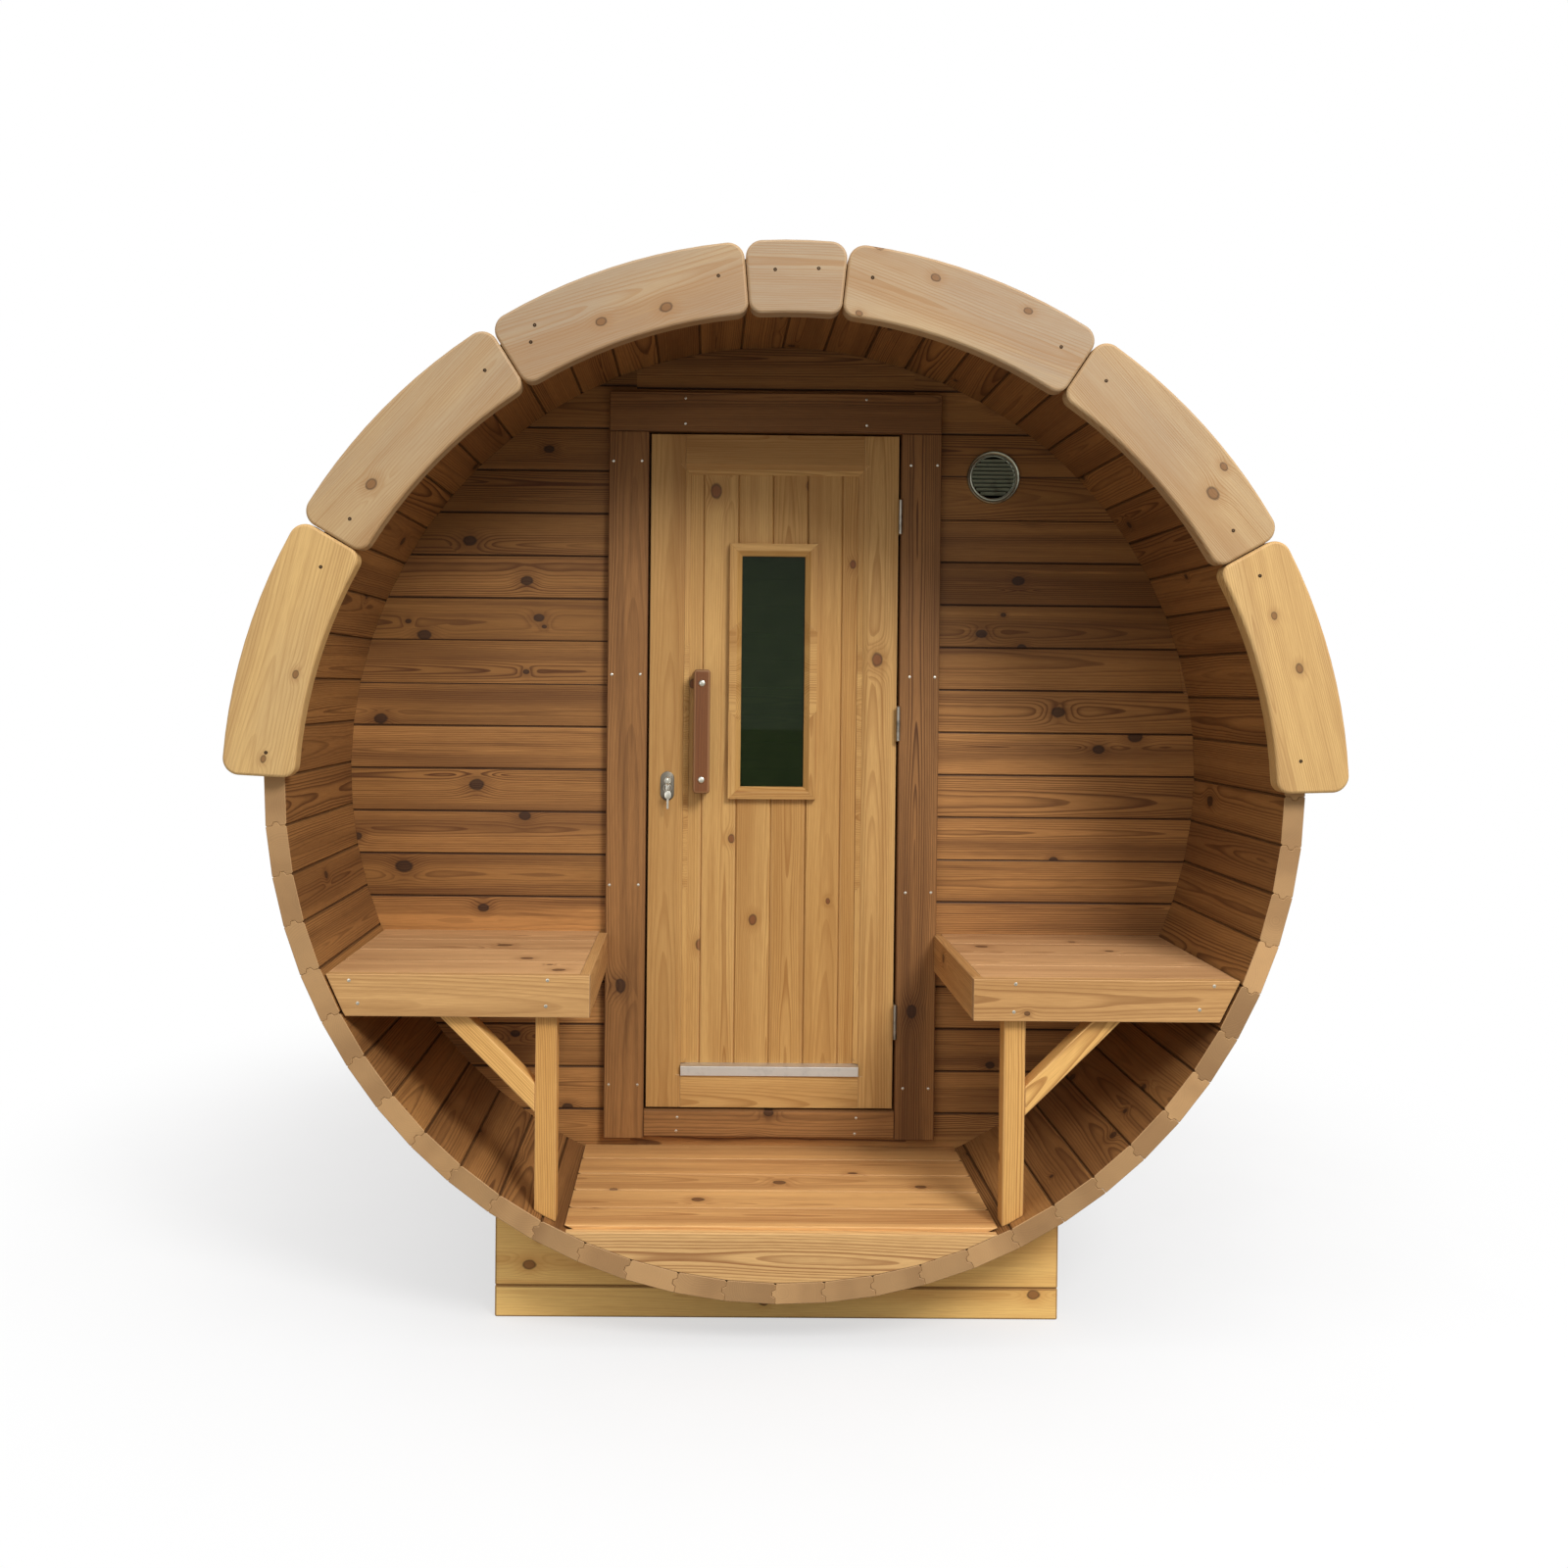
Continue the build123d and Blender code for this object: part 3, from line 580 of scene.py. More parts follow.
def dressStave(board):  # painted shade and dirt darken the chamfers between staves
    layer = easedLayer(board)
    outward = roundTheBarrel(board)[2]
    depths = [vert.co.dot(outward) for vert in board.verts]
    inner, outer = min(depths), max(depths)
    for side in board.faces:
        depth = side.calc_center_median().dot(outward)
        nearFace = min(outer - depth, depth - inner) < staves["chamferDepth"]
        if nearFace and 0.5 < abs(side.normal.dot(outward)) < 0.9:
            side[layer] = -1.0
    easeEdges(board, staves["endEdge"], 1, 60.0, lambda edge: span(edge, 1) < 0.1 * mm)


for number in range(1, staves["shells"] + 1):
    dressNode(f"staves_{number}", f"stave_shell_{number}", "stave", edge=None,
              grain=staveGrain, shape=dressStave)
print("staves made")

# arch boards, with the knots that show on their faces
arch = {
    "knots": [(-360, 875, 7), (-790, 565, 8), (270, 965, 6), (800, 565, 9), (-930, 205, 5), (970, 235, 6)],
    "setBack": 0.5 * mm,  # the front faces stand back by this, so that the screw heads end at the CAD face
    "frontEdge": 1.2 * mm, "rearEdge": 3.0 * mm,
}
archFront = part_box("arch_boards_front")[0].y


def archTone(middle):  # the boards lie greyer towards the crown, where rain and light reach them
    return 0.05 + 0.85 * clamp((middle.z - axisZ - 0.30) / 0.45)


def setBack(board):
    for vert in board.verts:
        if vert.co.y < archFront + tiny:
            vert.co.y += arch["setBack"]


dressNode("front_arch", "arch_boards_front", "arch", edge=arch["frontEdge"], segments=1,
          shape=setBack, grain=archGrain, knots=knotsAt(arch["knots"]), tone=archTone)
dressNode("rear_arch", "arch_boards_rear", "arch", edge=arch["rearEdge"], grain=archGrain)
print("arch boards made")

# walls of horizontal boards with V joints
walls = {
    "pitch": 96.75 * mm, "leftJoint": -1 * mm, "rightJoint": -6 * mm,  # joints nearest to the axis's height
    "edge": 2.6 * mm, "shortest": 60 * mm,
    "knots": [(-565, 426, 9), (-536, 342, 8), (-894, 110, 10), (-675, -38, 11), (-565, -108, 9),
              (-839, -225, 12), (-658, -318, 8), (552, 437, 9), (470, 316, 8), (647, 139, 10), (740, 55, 9)],
}
wallLuck = random.Random("walls")


def levelCuts(joint):
    return [((0.0, 0.0, axisZ + joint + walls["pitch"] * k), (0, 0, 1)) for k in range(-11, 12)]


def easeLevel(board):  # the joints are chamfered, the ends are left square; the chamfers take the dark edge colour as painted shade
    easeEdges(board, walls["edge"], 2, 60.0,
              lambda edge: span(edge, 2) < 0.1 * mm and span(edge, 0) > walls["shortest"])


def wallShadeTone(middle):  # painted shade: boards are painted darker towards the crown, which shades the wall, paler near the deck, and darker on the left than the right; each board's tone also differs at random
    height = clamp((middle.z - axisZ) / 0.5, -1.0)
    return 0.5 + 0.45 * height + wallLuck.uniform(-0.25, 0.25) - math.copysign(0.12, middle.x)


leftCuts, rightCuts = levelCuts(walls["leftJoint"]), levelCuts(walls["rightJoint"])
wallKnots = knotsAt(walls["knots"])
for name, node, cuts, knots in (
        ("wall_left", "porch_wall_left", leftCuts, wallKnots),
        ("wall_right", "porch_wall_right", rightCuts, wallKnots),
        ("wall_over_door", "porch_wall_over_door", rightCuts, ()),
        ("wall_under_door", "porch_wall_under_door", rightCuts, ()),
        ("wall_rear", "rear_wall", rightCuts, ())):
    dressNode(name, node, "wall", edge=None, shape=easeLevel, cuts=cuts, knots=knots,
              tone=wallShadeTone)
print("walls made")

# floor and seat boards, planed with fine ribs along their length
ribs = {"pitch": 9.2 * mm, "width": 3.4 * mm, "depth": 2.0 * mm, "edge": 2.0 * mm}


def ribbed(board):
    low, high = cornersOf(board)
    easeEdges(board, ribs["edge"], 2, 70.0, lambda edge: all(
        min(abs(v.co.y - low.y), abs(v.co.y - high.y)) < tiny for v in edge.verts))
    count = round((high.y - low.y) / ribs["pitch"])
    pitch = (high.y - low.y) / count
    for k in range(1, count):
        for shift in (-0.5, 0.0, 0.5):
            y = low.y + pitch * k + shift * ribs["width"]
            splitBoard(board, (0, y, 0), (0, 1, 0))
            if shift == 0.0:
                for vert in board.verts:
                    if abs(vert.co.y - y) < tiny and vert.co.z > high.z - tiny:
                        vert.co.z -= ribs["depth"]


roomFloor = {"pitch": 95 * mm, "joints": 18, "edge": 2.0 * mm}
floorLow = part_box("room_floor")[0]
floorCuts = [((0, floorLow.y + (k + 1) * roomFloor["pitch"], 0), (0, 1, 0))
             for k in range(roomFloor["joints"])]
dressNode("deck_boards", "porch_deck", "deck", edge=None, shape=ribbed)
dressNode("deck_skirt", "porch_skirt", "skirt")
dressNode("deck_bearers", "porch_bearers", "pale")
dressNode("room_floor_boards", "room_floor", "deck", edge=roomFloor["edge"], cuts=floorCuts)
dressNode("room_floor_bearers", "room_bearers", "pale")

bench = {"leftLitTone": 0.12, "rightShadedTone": 0.80, "apronEdge": 1.6 * mm, "legEdge": 2.5 * mm}


def seatLitAndShadedTone(middle):  # painted light and shade: the left seat is painted paler than the right, where less light falls
    return bench["leftLitTone"] if middle.x < 0 else bench["rightShadedTone"]


for side in ("left", "right"):
    dressNode(f"seat_boards_{side}", f"bench_seat_{side}", "seat", edge=None, shape=ribbed,
              tone=seatLitAndShadedTone)
    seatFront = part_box(f"bench_seat_{side}")[0].y
    dressNode(f"bench_aprons_{side}", f"bench_frame_{side}", "bench",
              edge=bench["apronEdge"], cuts=[((0, seatFront, 0), (0, 1, 0))])
    dressNode(f"bench_post_{side}", f"bench_leg_{side}", "pale", edge=bench["legEdge"])
    dressNode(f"bench_strut_{side}", f"bench_brace_{side}", "pale", edge=bench["legEdge"],
              grain=slantGrain)
for end in ("front", "rear"):
    dressNode(f"cradle_boards_{end}", f"cradle_{end}", "cradle", edge=3.6 * mm, segments=3)
print("floors, benches and cradles made")


# doorway and door
def casingShadeTone(middle):  # painted shade: darker towards the crown, under the arch's shadow
    return 0.5 + 0.45 * clamp((middle.z - axisZ) / 0.6, -1.0)


def leafShadeTone(middle):  # painted shade: the top rail, under the arch's shadow, and the lock stile are painted as the darkest boards of the leaf
    if middle.z > axisZ + 0.6:
        return 1.0
    return 0.8 if middle.x < -0.1 else 0.3


dressNode("doorway_casing", "door_casing", "casing", edge=2.0 * mm, tone=casingShadeTone)
dressNode("doorway_frame", "door_frame", "casing", edge=1.2 * mm)
dressNode("leaf_stiles", "door_stiles", "leaf", "door", edge=1.4 * mm, tone=leafShadeTone)
dressNode("leaf_rails", "door_rails", "leaf", "door", edge=0.8 * mm, tone=leafShadeTone)

panel = {
    "firstJoint": 42.0 * mm, "pitch": 78.6 * mm, "joints": 5,
    "knots": [(-137, 633, 11), (-45, -340, 8), (175, 470, 6)],
}
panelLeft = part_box("door_panel")[0].x
panelCuts = [((panelLeft + panel["firstJoint"] + k * panel["pitch"], 0, 0), (1, 0, 0))
             for k in range(panel["joints"])]
dressNode("leaf_panel", "door_panel", "door", "door", segments=1, cuts=panelCuts,
          knots=knotsAt(panel["knots"]))

mouldings = {"gap": 0.1 * mm, "edge": 0.5 * mm, "smallest": 12.0}
mouldPile = Pile("leaf_mouldings")
for ring in islandBoards("door_mouldings"):
    low, high = cornersOf(ring)
    middle = (low + high) / 2
    for half in cutBoards([ring], middle, (0, 0, 1), 0.0):
        halfLow, halfHigh = cornersOf(half)
        isTop = (halfLow.z + halfHigh.z) / 2 > middle.z
        z, turn = (high.z, -1) if isTop else (low.z, 1)
        pieces = cutBoards([half], (low.x, 0, z), (1, 0, -turn), mouldings["gap"])  # mitred corners
        for piece in cutBoards(pieces, (high.x, 0, z), (1, 0, turn), mouldings["gap"]):
            easeEdges(piece, mouldings["edge"], 1, mouldings["smallest"])
            mouldPile.addBoard(piece, straightGrain(piece))
settle(mouldPile.finish("door"), "door", "door_mouldings")


def paintNode(node, material):  # a CAD node that keeps its own shape
    slots = frame["nodes"][node].data.materials
    slots.clear()
    slots.append(materials[material])


paintNode("door_glass", "glass")
print("door made")


# mesh helpers for turned and bent metal pieces
def makePiece(name, points, faces, material, smooth=None):
    mesh = bpy.data.meshes.new(name)
    mesh.from_pydata(points, [], faces)
    mesh.materials.append(materials[material])
    mesh.validate()
    if smooth:
        mesh.shade_smooth()
        mesh.set_sharp_from_angle(angle=math.radians(smooth))
    return showObject(name, mesh)


def aboutAxis(outward):  # a turned piece's own axis, and two directions square to it
    outward = Vector(outward).normalized()
    side = outward.orthogonal().normalized() if abs(outward.z) > 0.9 else Vector((0, 0, 1)).cross(outward)
    return outward, side, outward.cross(side)


class Shapes:  # gathers points and faces of several small solids for one piece
    def __init__(self):
        self.points, self.faces = [], []

    def addSkin(self, start, rows, count):  # over a stack of rings of points, closed at both ends
        for row in range(rows - 1):
            for k in range(count):
                a, b = start + row * count + k, start + row * count + (k + 1) % count
                self.faces.append([a, b, b + count, a + count])
        self.faces.append([start + k for k in reversed(range(count))])
        self.faces.append([start + (rows - 1) * count + k for k in range(count)])

    def addTurned(self, centre, outward, profile, count=16, lobes=lambda row, k: 1.0):
        outward, side, up = aboutAxis(outward)
        start = len(self.points)
        for row, (radius, height) in enumerate(profile):
            spot = Vector(centre) + outward * height
            for k in range(count):
                turn, reach = 2 * math.pi * k / count, radius * lobes(row, k)
                self.points.append(spot + side * (reach * math.cos(turn)) + up * (reach * math.sin(turn)))
        self.addSkin(start, len(profile), count)

    def addRing(self, centre, outward, profile, count=48):  # a closed section turned into a ring
        outward, side, up = aboutAxis(outward)
        start, rows = len(self.points), len(profile)
        for k in range(count):
            turn = 2 * math.pi * k / count
            away = side * math.cos(turn) + up * math.sin(turn)
            for radius, height in profile:
                self.points.append(Vector(centre) + away * radius + outward * height)
        for k in range(count):
            here, beyond = start + k * rows, start + (k + 1) % count * rows
            for row in range(rows):
                following = (row + 1) % rows
                self.faces.append([here + row, here + following, beyond + following, beyond + row])

    def addPlate(self, outline, place, thick, edge):  # a flat plate with a rounded front edge
        middle = sum((Vector(p) for p in outline), Vector((0.0, 0.0))) / len(outline)
        layers = ((0.0, 0.0), (thick - edge, 0.0), (thick - edge * 0.3, edge * 0.3), (thick, edge))
        start = len(self.points)
        for height, inset in layers:
            for corner in outline:
                kept = Vector(corner) - (Vector(corner) - middle).normalized() * inset
                self.points.append(place(kept.x, kept.y, height))
        self.addSkin(start, len(layers), len(outline))

    def addBar(self, low, high, turnX=0.0):  # a thin straight bar, turned about its own length
        middle, half = (Vector(low) + Vector(high)) / 2, (Vector(high) - Vector(low)) / 2
        section = ((-1, -0.4), (-0.8, -1), (0.8, -1), (1, -0.4), (1, 0.4), (0.8, 1), (-0.8, 1), (-1, 0.4))
        start, turned = len(self.points), Matrix.Rotation(turnX, 3, "X")
        for x in (-1, 1):
            for y, z in section:
                self.points.append(middle + turned @ Vector((x * half.x, y * half.y, z * half.z)))
        self.addSkin(start, 2, len(section))

    def finish(self, name, material, smooth=35.0):
        return makePiece(name, [tuple(p) for p in self.points], self.faces, material, smooth)


def inMetres(profile):
    return [(radius * mm, out * mm) for radius, out in profile]


# screws, with places across and up from the barrel's axis in millimetres
screws = {
    "arch": [(-33, 977), (49, 980), (-140, 964), (-485, 867), (-492, 835), (-578, 781), (-830, 499),
             (-884, 408), (-985, 57), (151, 964), (509, 838), (595, 775), (840, 495), (892, 410), (975, 59)],
    "apron": [(-836, -381), (-455, -378), (-819, -425), (-458, -428), (447, -378), (444, -432), (831, -379),
              (803, -425)],
    "casing": [(-369, 696), (-305, 697), (-369, 215), (-305, 216), (-370, -261), (-305, -260), (-368, -714),
               (-303, -714), (302, 693), (362, 694), (304, 216), (361, 216), (300, -273), (358, -272),
               (299, -718), (357, -718), (-208, 839), (-208, 782), (200, 840), (201, 782),
               (-212, -787), (-214, -818), (194, -786), (191, -822)],
    "head": [(0.9, -1.0), (1.0, 0.0), (0.96, 0.5), (0.75, 0.9), (0.55, 1.0), (0.42, 1.0), (0.36, -0.2)],
    "recess": 0.42,  # how far the cross recess draws the last rows in, between its arms
}


def crossLobes(row, k):
    return 1.0 if row < 5 or k % 4 == 0 else screws["recess"]


def driveScrews(name, y, places, radius, proud, material):
    profile = [(radius * wide, proud * high) for wide, high in screws["head"]]
    heads = Shapes()
    for x, z in places:
        heads.addTurned((x * mm, y, axisZ + z * mm), towardsFront, profile, 16, crossLobes)
    settle(heads.finish(name, material), "cabin")


archFace = archFront + arch["setBack"]
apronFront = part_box("bench_frame_left")[0].y
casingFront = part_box("door_casing")[0].y
driveScrews("arch_screws", archFace, screws["arch"], 3.6 * mm, arch["setBack"], "darkScrew")
driveScrews("apron_screws", apronFront, screws["apron"], 3.4 * mm, 0.7 * mm, "bright")
driveScrews("casing_screws", casingFront, screws["casing"], 3.0 * mm, 0.7 * mm, "bright")

# pull handle: a well rounded wooden grip on two domed bolts
handle = {
    "edge": 5.0 * mm, "boltHeights": (197 * mm, -19 * mm),
    "bolt": [(7.6, -1.0), (8.0, 0.0), (7.8, 1.0), (6.6, 2.3), (4.2, 3.1), (1.2, 3.4)],  # millimetres
}
handleLow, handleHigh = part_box("door_handle")
dressNode("pull_handle", "door_handle", "handle", "door", edge=handle["edge"], segments=4)
bolts = Shapes()
for height in handle["boltHeights"]:
    spot = ((handleLow.x + handleHigh.x) / 2, handleLow.y, axisZ + height)
    bolts.addTurned(spot, towardsFront, inMetres(handle["bolt"]), 24)
settle(bolts.finish("handle_bolts", "bright"), "door")

# lock: oval plate with a raised field, the cylinder with its key in it, and a spare key on a ring
# in millimetres: places are across, out from the back of the plate, and up from its middle
lock = {
    "plate": (3.0, 1.6), "fieldInset": 4, "fieldAt": (0, 2.8, 0), "field": (1.4, 0.8),  # thickness, edge
    "noseAt": (1, 3, 12), "nose": [(8.4, 0.0), (8.4, 4.6), (7.6, 5.6), (6.9, 5.7), (6.6, 5.0), (1.0, 5.0)],
    "bodyAt": (1, 3, 0), "bodyHalf": (4.6, 13), "body": (4.2, 0.6),
    "bladeFrom": (0.2, 16, 9), "bladeTo": (1.9, 8, 15),
    "bowAt": (0, 21, 12), "bowHalf": (8.5, 10.5), "bow": (2.0, 0.5),
    "ringAt": (1, 22, -3), "ringRadius": 9.0, "ringWire": 0.8, "ringAxis": (0.25, -1, 0),
    "spareBowAt": (2, 21, -19), "spareBowHalf": (7.5, 9.5), "spareBow": (1.8, 0.5),
    "spareFrom": (-0.6, 22.6, -50), "spareTo": (4.0, 21.2, -26),
}
lockLow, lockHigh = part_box("door_lock")
lockMiddle, lockHalf = (lockLow + lockHigh) / 2, (lockHigh - lockLow) / 2 / mm


def lockSpot(x, out, z):
    return lockMiddle.x + x * mm, lockHigh.y - out * mm, lockMiddle.z + z * mm


def ovalOutline(halfWidth, halfHeight, count=10):
    found = []
    for sign in (1, -1):
        for k in range(count + 1):
            turn = math.pi * k / count
            rise = halfHeight - halfWidth + halfWidth * math.sin(turn)
            found.append((halfWidth * math.cos(turn) * sign * mm, rise * sign * mm))
    return found


def facing(at):  # for a plate that lies flat on the door
    x0, y0, z0 = lockSpot(*at)
    return lambda a, b, height: (x0 + a, y0 - height, z0 + b)


def standing(at):  # for a plate that stands out from the door
    x0, y0, z0 = lockSpot(*at)
    return lambda a, b, height: (x0 + height, y0 + a, z0 + b)


def addOval(shapes, half, place, sizes):
    shapes.addPlate(ovalOutline(*half), place, sizes[0] * mm, sizes[1] * mm)


plate = Shapes()
fieldHalf = (lockHalf.x - lock["fieldInset"], lockHalf.z - lock["fieldInset"])
addOval(plate, (lockHalf.x, lockHalf.z), facing((0, 0, 0)), lock["plate"])
addOval(plate, fieldHalf, facing(lock["fieldAt"]), lock["field"])
settle(plate.finish("lock_plate", "lock", 40.0), "door", "door_lock")
cylinder = Shapes()
cylinder.addTurned(lockSpot(*lock["noseAt"]), towardsFront, inMetres(lock["nose"]), 28)
addOval(cylinder, lock["bodyHalf"], facing(lock["bodyAt"]), lock["body"])
settle(cylinder.finish("lock_cylinder", "bright", 40.0), "door")
keys = Shapes()
keys.addBar(lockSpot(*lock["bladeFrom"]), lockSpot(*lock["bladeTo"]))
addOval(keys, lock["bowHalf"], standing(lock["bowAt"]), lock["bow"])
ringTurns = [math.radians(60 * k) for k in range(6)]
ringSection = [(lock["ringRadius"] + lock["ringWire"] * math.cos(turn), lock["ringWire"] * math.sin(turn))
               for turn in ringTurns]
keys.addRing(lockSpot(*lock["ringAt"]), lock["ringAxis"], inMetres(ringSection), 32)
addOval(keys, lock["spareBowHalf"], facing(lock["spareBowAt"]), lock["spareBow"])
keys.addBar(lockSpot(*lock["spareFrom"]), lockSpot(*lock["spareTo"]))
settle(keys.finish("lock_keys", "bright", 40.0), "door")

# hinges: rounded tips on the knuckles
hinges = {
    "fromTop": (183 * mm, 649 * mm), "fromFoot": 200 * mm, "halfHeight": 37.5 * mm,
    "tip": [(4.4, -0.1), (4.6, 0.6), (3.9, 1.6), (2.4, 2.6), (0.6, 3.0)],  # millimetres
}
for node in ("hinges_frame", "hinges_leaf", "steel_hoops"):
    paintNode(node, "steel")
pinX, pinY, _ = frame["record"]["behaviour"]["joints"][0]["pos_m"]
leafLow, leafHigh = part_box("door_stiles")
hingeHeights = [leafHigh.z - drop for drop in hinges["fromTop"]] + [leafLow.z + hinges["fromFoot"]]
for name, body, sign in (("hinge_tips_top", "door", 1), ("hinge_tips_foot", "cabin", -1)):
    tips = Shapes()
    for height in hingeHeights:
        spot = (pinX, pinY, height + sign * hinges["halfHeight"])
        tips.addTurned(spot, (0, 0, sign), inMetres(hinges["tip"]), 20)
    settle(tips.finish(name, "steel"), body)

# vent: two rolled rings with sloping slats between, and a sleeve through the wall, in millimetres
vent = {
    "rim": [(60.0, 0.0), (60.0, 4.5), (59.2, 6.6), (57.6, 7.8), (55.6, 7.6), (54.2, 6.4), (53.2, 5.2),
            (52.0, 5.8), (50.6, 5.6), (49.8, 4.4), (49.4, 1.2), (48.6, -30.0), (47.6, -30.0), (47.6, 0.0),
            (48.4, 0.2)],
    "slatsEachWay": 5, "slatPitch": 9.2, "slatReach": 49.2, "slatClear": 3.2, "slatHalf": 0.6, "slope": -58,
    "slatFront": 5.6, "slatBack": -3.4, "shortest": 5,
}
ventLow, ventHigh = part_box("vent")
ventX, ventZ = (ventLow.x + ventHigh.x) / 2, (ventLow.z + ventHigh.z) / 2
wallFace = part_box("porch_wall_right")[0].y


def ventSpot(x, out, z):
    return ventX + x * mm, wallFace - out * mm, ventZ + z * mm


rim = Shapes()
rim.addRing(ventSpot(0, 0, 0), towardsFront, inMetres(vent["rim"]), 72)
settle(rim.finish("vent_rim", "vent"), "cabin", "vent")
slats = Shapes()
for k in range(-vent["slatsEachWay"], vent["slatsEachWay"] + 1):
    height = k * vent["slatPitch"]
    reach = math.sqrt(max(0.0, vent["slatReach"] ** 2 - (abs(height) + vent["slatClear"]) ** 2))
    if reach > vent["shortest"]:
        low = ventSpot(-reach, vent["slatFront"], height - vent["slatHalf"])
        high = ventSpot(reach, vent["slatBack"], height + vent["slatHalf"])
        slats.addBar(low, high, math.radians(vent["slope"]))
settle(slats.finish("vent_slats", "ventDark"), "cabin")

dressNode("drip_strip", "door_drip", "drip", "door", edge=0.6 * mm)
print("door furniture, screws and vent made")

# roof: courses of six-sided shingle tabs from both eaves up to a row of ridge tabs
roof = {
    "halfAngle": math.radians(86.0), "tabs": 12, "step": 0.139, "tall": 0.194, "cut": 0.045,
    "footShare": 0.55, "thick": 2.6 * mm, "above": 1.9 * mm, "lift": 3.4 * mm, "uneven": 0.3 * mm,
    "gap": 0.7 * mm, "ridgeRows": (-0.09, -0.03, 0.03, 0.09), "ridgeLift": 6.2 * mm,
    "felt": (0.2 * mm, 1.6 * mm), "feltSteps": 120, "feltTone": 0.35,
}


def onBarrel(turn, rise, y):  # a place over the staves, turned from the crown
    radius = barrelRadius + rise
    return radius * math.sin(turn), y, axisZ + radius * math.cos(turn)


def shingleRoof():
    luck = random.Random("shingles")
    points, faces, tones = [], [], []

    def addTab(side, foot, yMiddle, width, cap=False):
        half, tall, cut = width / 2, roof["tall"], roof["cut"]
        rows = [(0.0, half * roof["footShare"]), (cut, half), (tall * 0.6, half), (tall, half)]
        rise = luck.uniform(-1, 1) * roof["uneven"]
        lifts = [roof["lift"] * (1.0 - s / tall) + rise for s, _ in rows]
        if cap:
            rows, lifts = [(s, half) for s in roof["ridgeRows"]], [roof["ridgeLift"]] * 4
        start = len(points)
        for layer in (0, 1):
            for (s, reach), lift in zip(rows, lifts):
                turn = roof["halfAngle"] - (foot + s) / barrelRadius
                over = roof["above"] + lift + layer * roof["thick"]
                for y in (yMiddle - reach + roof["gap"], yMiddle + reach - roof["gap"]):
                    points.append(onBarrel(side * turn, over, clamp(y, frontY, backY)))
        for row in range(3):
            a = start + row * 2
            faces.extend([[a, a + 1, a + 3, a + 2], [a + 8, a + 10, a + 11, a + 9],
                          [a, a + 2, a + 10, a + 8], [a + 1, a + 9, a + 11, a + 3]])
        faces.append([start, start + 8, start + 9, start + 1])
        faces.append([start + 6, start + 7, start + 15, start + 14])
        tones.extend([luck.random()] * 14)

    def addFelt(count):  # the sheet the tabs are nailed to, seen only in the notches
        start = len(points)
        for k in range(count + 1):
            for rise in roof["felt"]:
                for y in (frontY, backY):
                    points.append(onBarrel(roof["halfAngle"] * (2 * k / count - 1), rise, y))
        for a in range(start, start + count * 4, 4):
            faces.extend([[a, a + 1, a + 5, a + 4], [a + 2, a + 6, a + 7, a + 3],
                          [a, a + 4, a + 6, a + 2], [a + 1, a + 3, a + 7, a + 5]])
        end = start + count * 4
        faces.extend([[start, start + 2, start + 3, start + 1], [end, end + 1, end + 3, end + 2]])
        tones.extend([roof["feltTone"]] * (count * 4 + 2))

    addFelt(roof["feltSteps"])
    width = (backY - frontY) / roof["tabs"]
    ridge = roof["halfAngle"] * barrelRadius  # from an eave up to the crown
    for side in (-1, 1):
        for course in range(int(ridge / roof["step"])):
            odd = course % 2  # every other course starts half a tab further out
            for k in range(roof["tabs"] + odd):
                addTab(side, course * roof["step"], frontY + (k + 0.5 - 0.5 * odd) * width, width)
    for k in range(roof["tabs"] * 2):
        addTab(1, ridge, frontY + (k + 0.5) * width / 2, width / 2, True)
    made = makePiece("roof_shingles", points, faces, "shingle")
    made.data.attributes.new("tabLuck", "FLOAT", "FACE").data.foreach_set("value", tones)
    return made


settle(shingleRoof(), "cabin", "roof_covering")
print("roof made")

# camera, where the photograph was taken from; angles in radians, lens in millimetres
view = {
    "at": (-0.1548, -3.880, 1.2845), "turned": (0.0087969, 0.0125945, 0.0098982),
    "lens": 32.11, "sensor": 36.0, "shiftX": 0.04166, "shiftY": -0.05075,
}
yaw, pitch, roll = view["turned"]
ahead = Vector((math.sin(yaw) * math.cos(pitch), math.cos(yaw) * math.cos(pitch), -math.sin(pitch)))
right = Vector((math.cos(yaw), -math.sin(yaw), 0.0))
above = right.cross(ahead)
axisX = right * math.cos(roll) + above * math.sin(roll)
axisY = -right * math.sin(roll) + above * math.cos(roll)
cameraData = bpy.data.cameras.new("camera")
cameraData.lens, cameraData.sensor_width = view["lens"], view["sensor"]
cameraData.shift_x, cameraData.shift_y = view["shiftX"], view["shiftY"]
cameraData.dof.use_dof = False
camera = showObject("camera", cameraData)
camera.matrix_world = Matrix.Translation(view["at"]) @ Matrix((axisX, axisY, -ahead)).transposed().to_4x4()
bpy.context.scene.camera = camera

studio = {
    "keyAt": (2.3, -4.9, 4.6), "keyTo": (0.0, -0.6, 0.9), "keyPower": 235.0,
    "fillAt": (-2.4, -4.8, 0.9), "fillTo": (0.0, 0.0, 0.8), "fillPower": 10.0, "lampSize": 1.8,
    "skyLow": 0.12, "skyHigh": 1.55,
    "floorTint": (140, 138, 132), "floorPale": (0.66, 0.68), "floorShine": 0.6, "floorFade": (1.1, 2.3),
}
white = (1.0, 1.0, 1.0, 1.0)


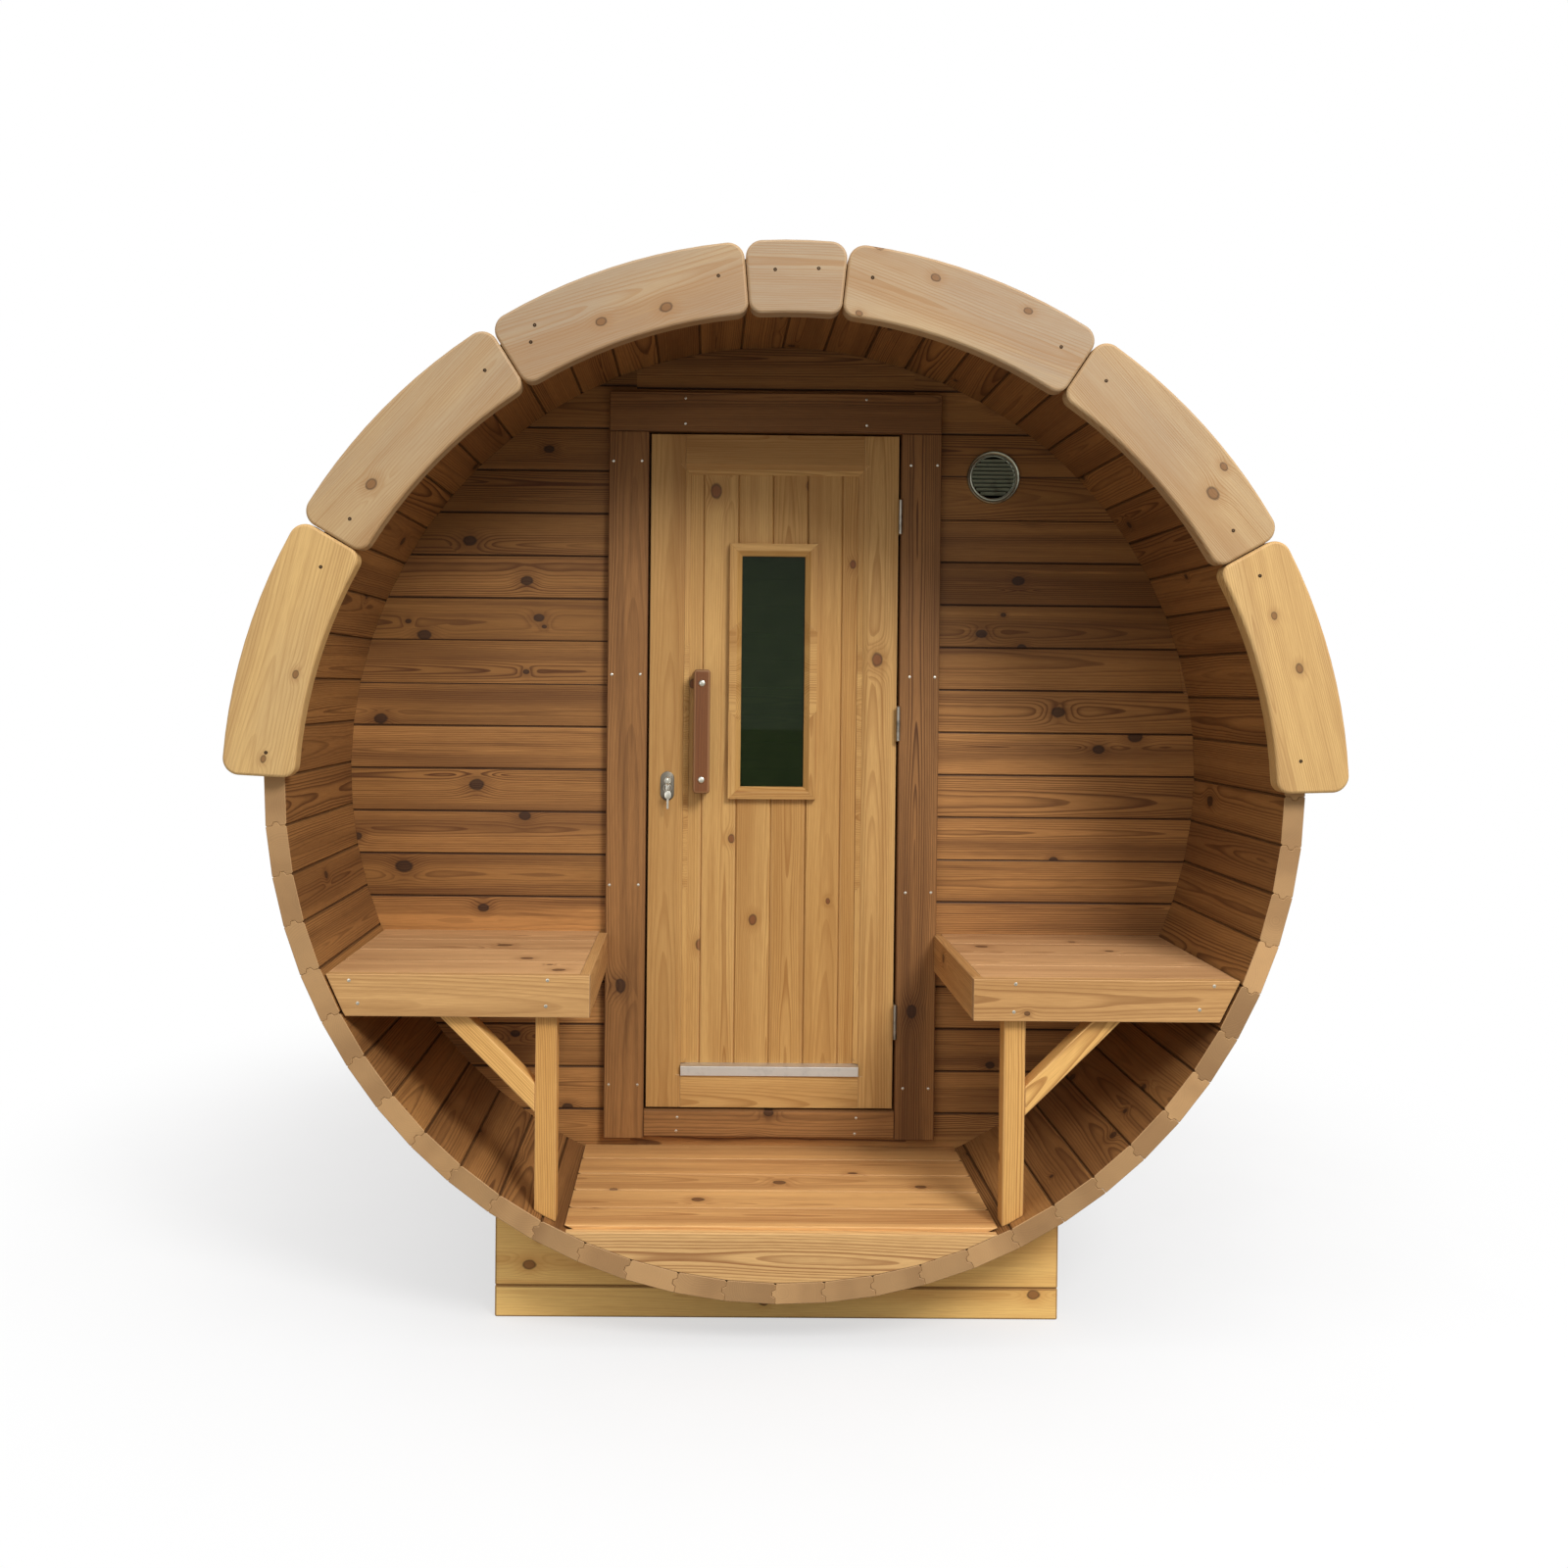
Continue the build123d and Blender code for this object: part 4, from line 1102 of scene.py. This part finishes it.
def floorMaterial():  # the camera sees it fade to white round the object, whose shadow it keeps
    material, wire = startMaterial("studioFloor")
    place = wire.add("NewGeometry", {}, output="Position")
    x, y, _ = place.parts()
    fade = (x * x + y * y).maths("SQRT").ease(*studio["floorFade"])
    seen = wire.add("LightPath", {}, output="Is Camera Ray")
    low, high = studio["floorPale"]
    pale = place.noise(3.0, 0.5, 3.0).ease(0.3, 0.7).blend((low, low, low, 1.0), (high, high, high, 1.0))
    base = seen.blend(colour(studio["floorTint"]), pale)
    diffuse = wire.add("BsdfDiffuse", {}, {"Color": base}, "BSDF")
    shine = wire.add("Emission", {}, {"Color": white, "Strength": 1.0}, "Emission")
    share = (fade * (1.0 - studio["floorShine"]) + studio["floorShine"]) * seen
    mixed = wire.add("MixShader", {}, {0: share, 1: diffuse, 2: shine}, "Shader")
    wire.add("OutputMaterial", {}, {"Surface": mixed})
    return material


floorSteps = (-40.0, -8.0, -3.0, 0.0, 3.0, 8.0, 40.0)
floorPoints = [(x, y, 0.0) for y in floorSteps for x in floorSteps]
floorFaces = [(r * 7 + c, r * 7 + c + 1, r * 7 + c + 8, r * 7 + c + 7) for r in range(6) for c in range(6)]
materials["floor"] = floorMaterial()
makePiece("studio_floor", floorPoints, floorFaces, "floor")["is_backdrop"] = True

world = bpy.data.worlds.new("studio")
bpy.context.scene.world = world
world.use_nodes = True
world.node_tree.nodes.clear()
sky = Wire(world.node_tree)
seen = sky.add("LightPath", {}, output="Is Camera Ray")
mirrored = seen.beside("Is Glossy Ray").maths("MAXIMUM", seen.beside("Is Transmission Ray"))
direct = seen.maths("MAXIMUM", mirrored)
height = sky.add("TexCoord", {}, output="Generated").parts()[2].ease(-0.15, 0.95)
dome = height * (studio["skyHigh"] - studio["skyLow"]) + studio["skyLow"]  # brighter overhead, a pale sky
strength = direct + dome * (1.0 - direct)
glow = sky.add("Background", {}, {"Color": white, "Strength": strength}, "Background")
sky.add("OutputWorld", {}, {"Surface": glow})


def softLamp(name, at, target, power):
    data = bpy.data.lights.new(name, "AREA")
    data.shape, data.size, data.energy = "DISK", studio["lampSize"], power
    lamp = showObject(name, data)
    lamp.location = at
    lamp.rotation_euler = (Vector(target) - Vector(at)).to_track_quat("-Z", "Y").to_euler()


softLamp("key", studio["keyAt"], studio["keyTo"], studio["keyPower"])
softLamp("fill", studio["fillAt"], studio["fillTo"], studio["fillPower"])
bpy.context.scene.view_settings.view_transform = "Standard"
print("studio made")

low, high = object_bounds()
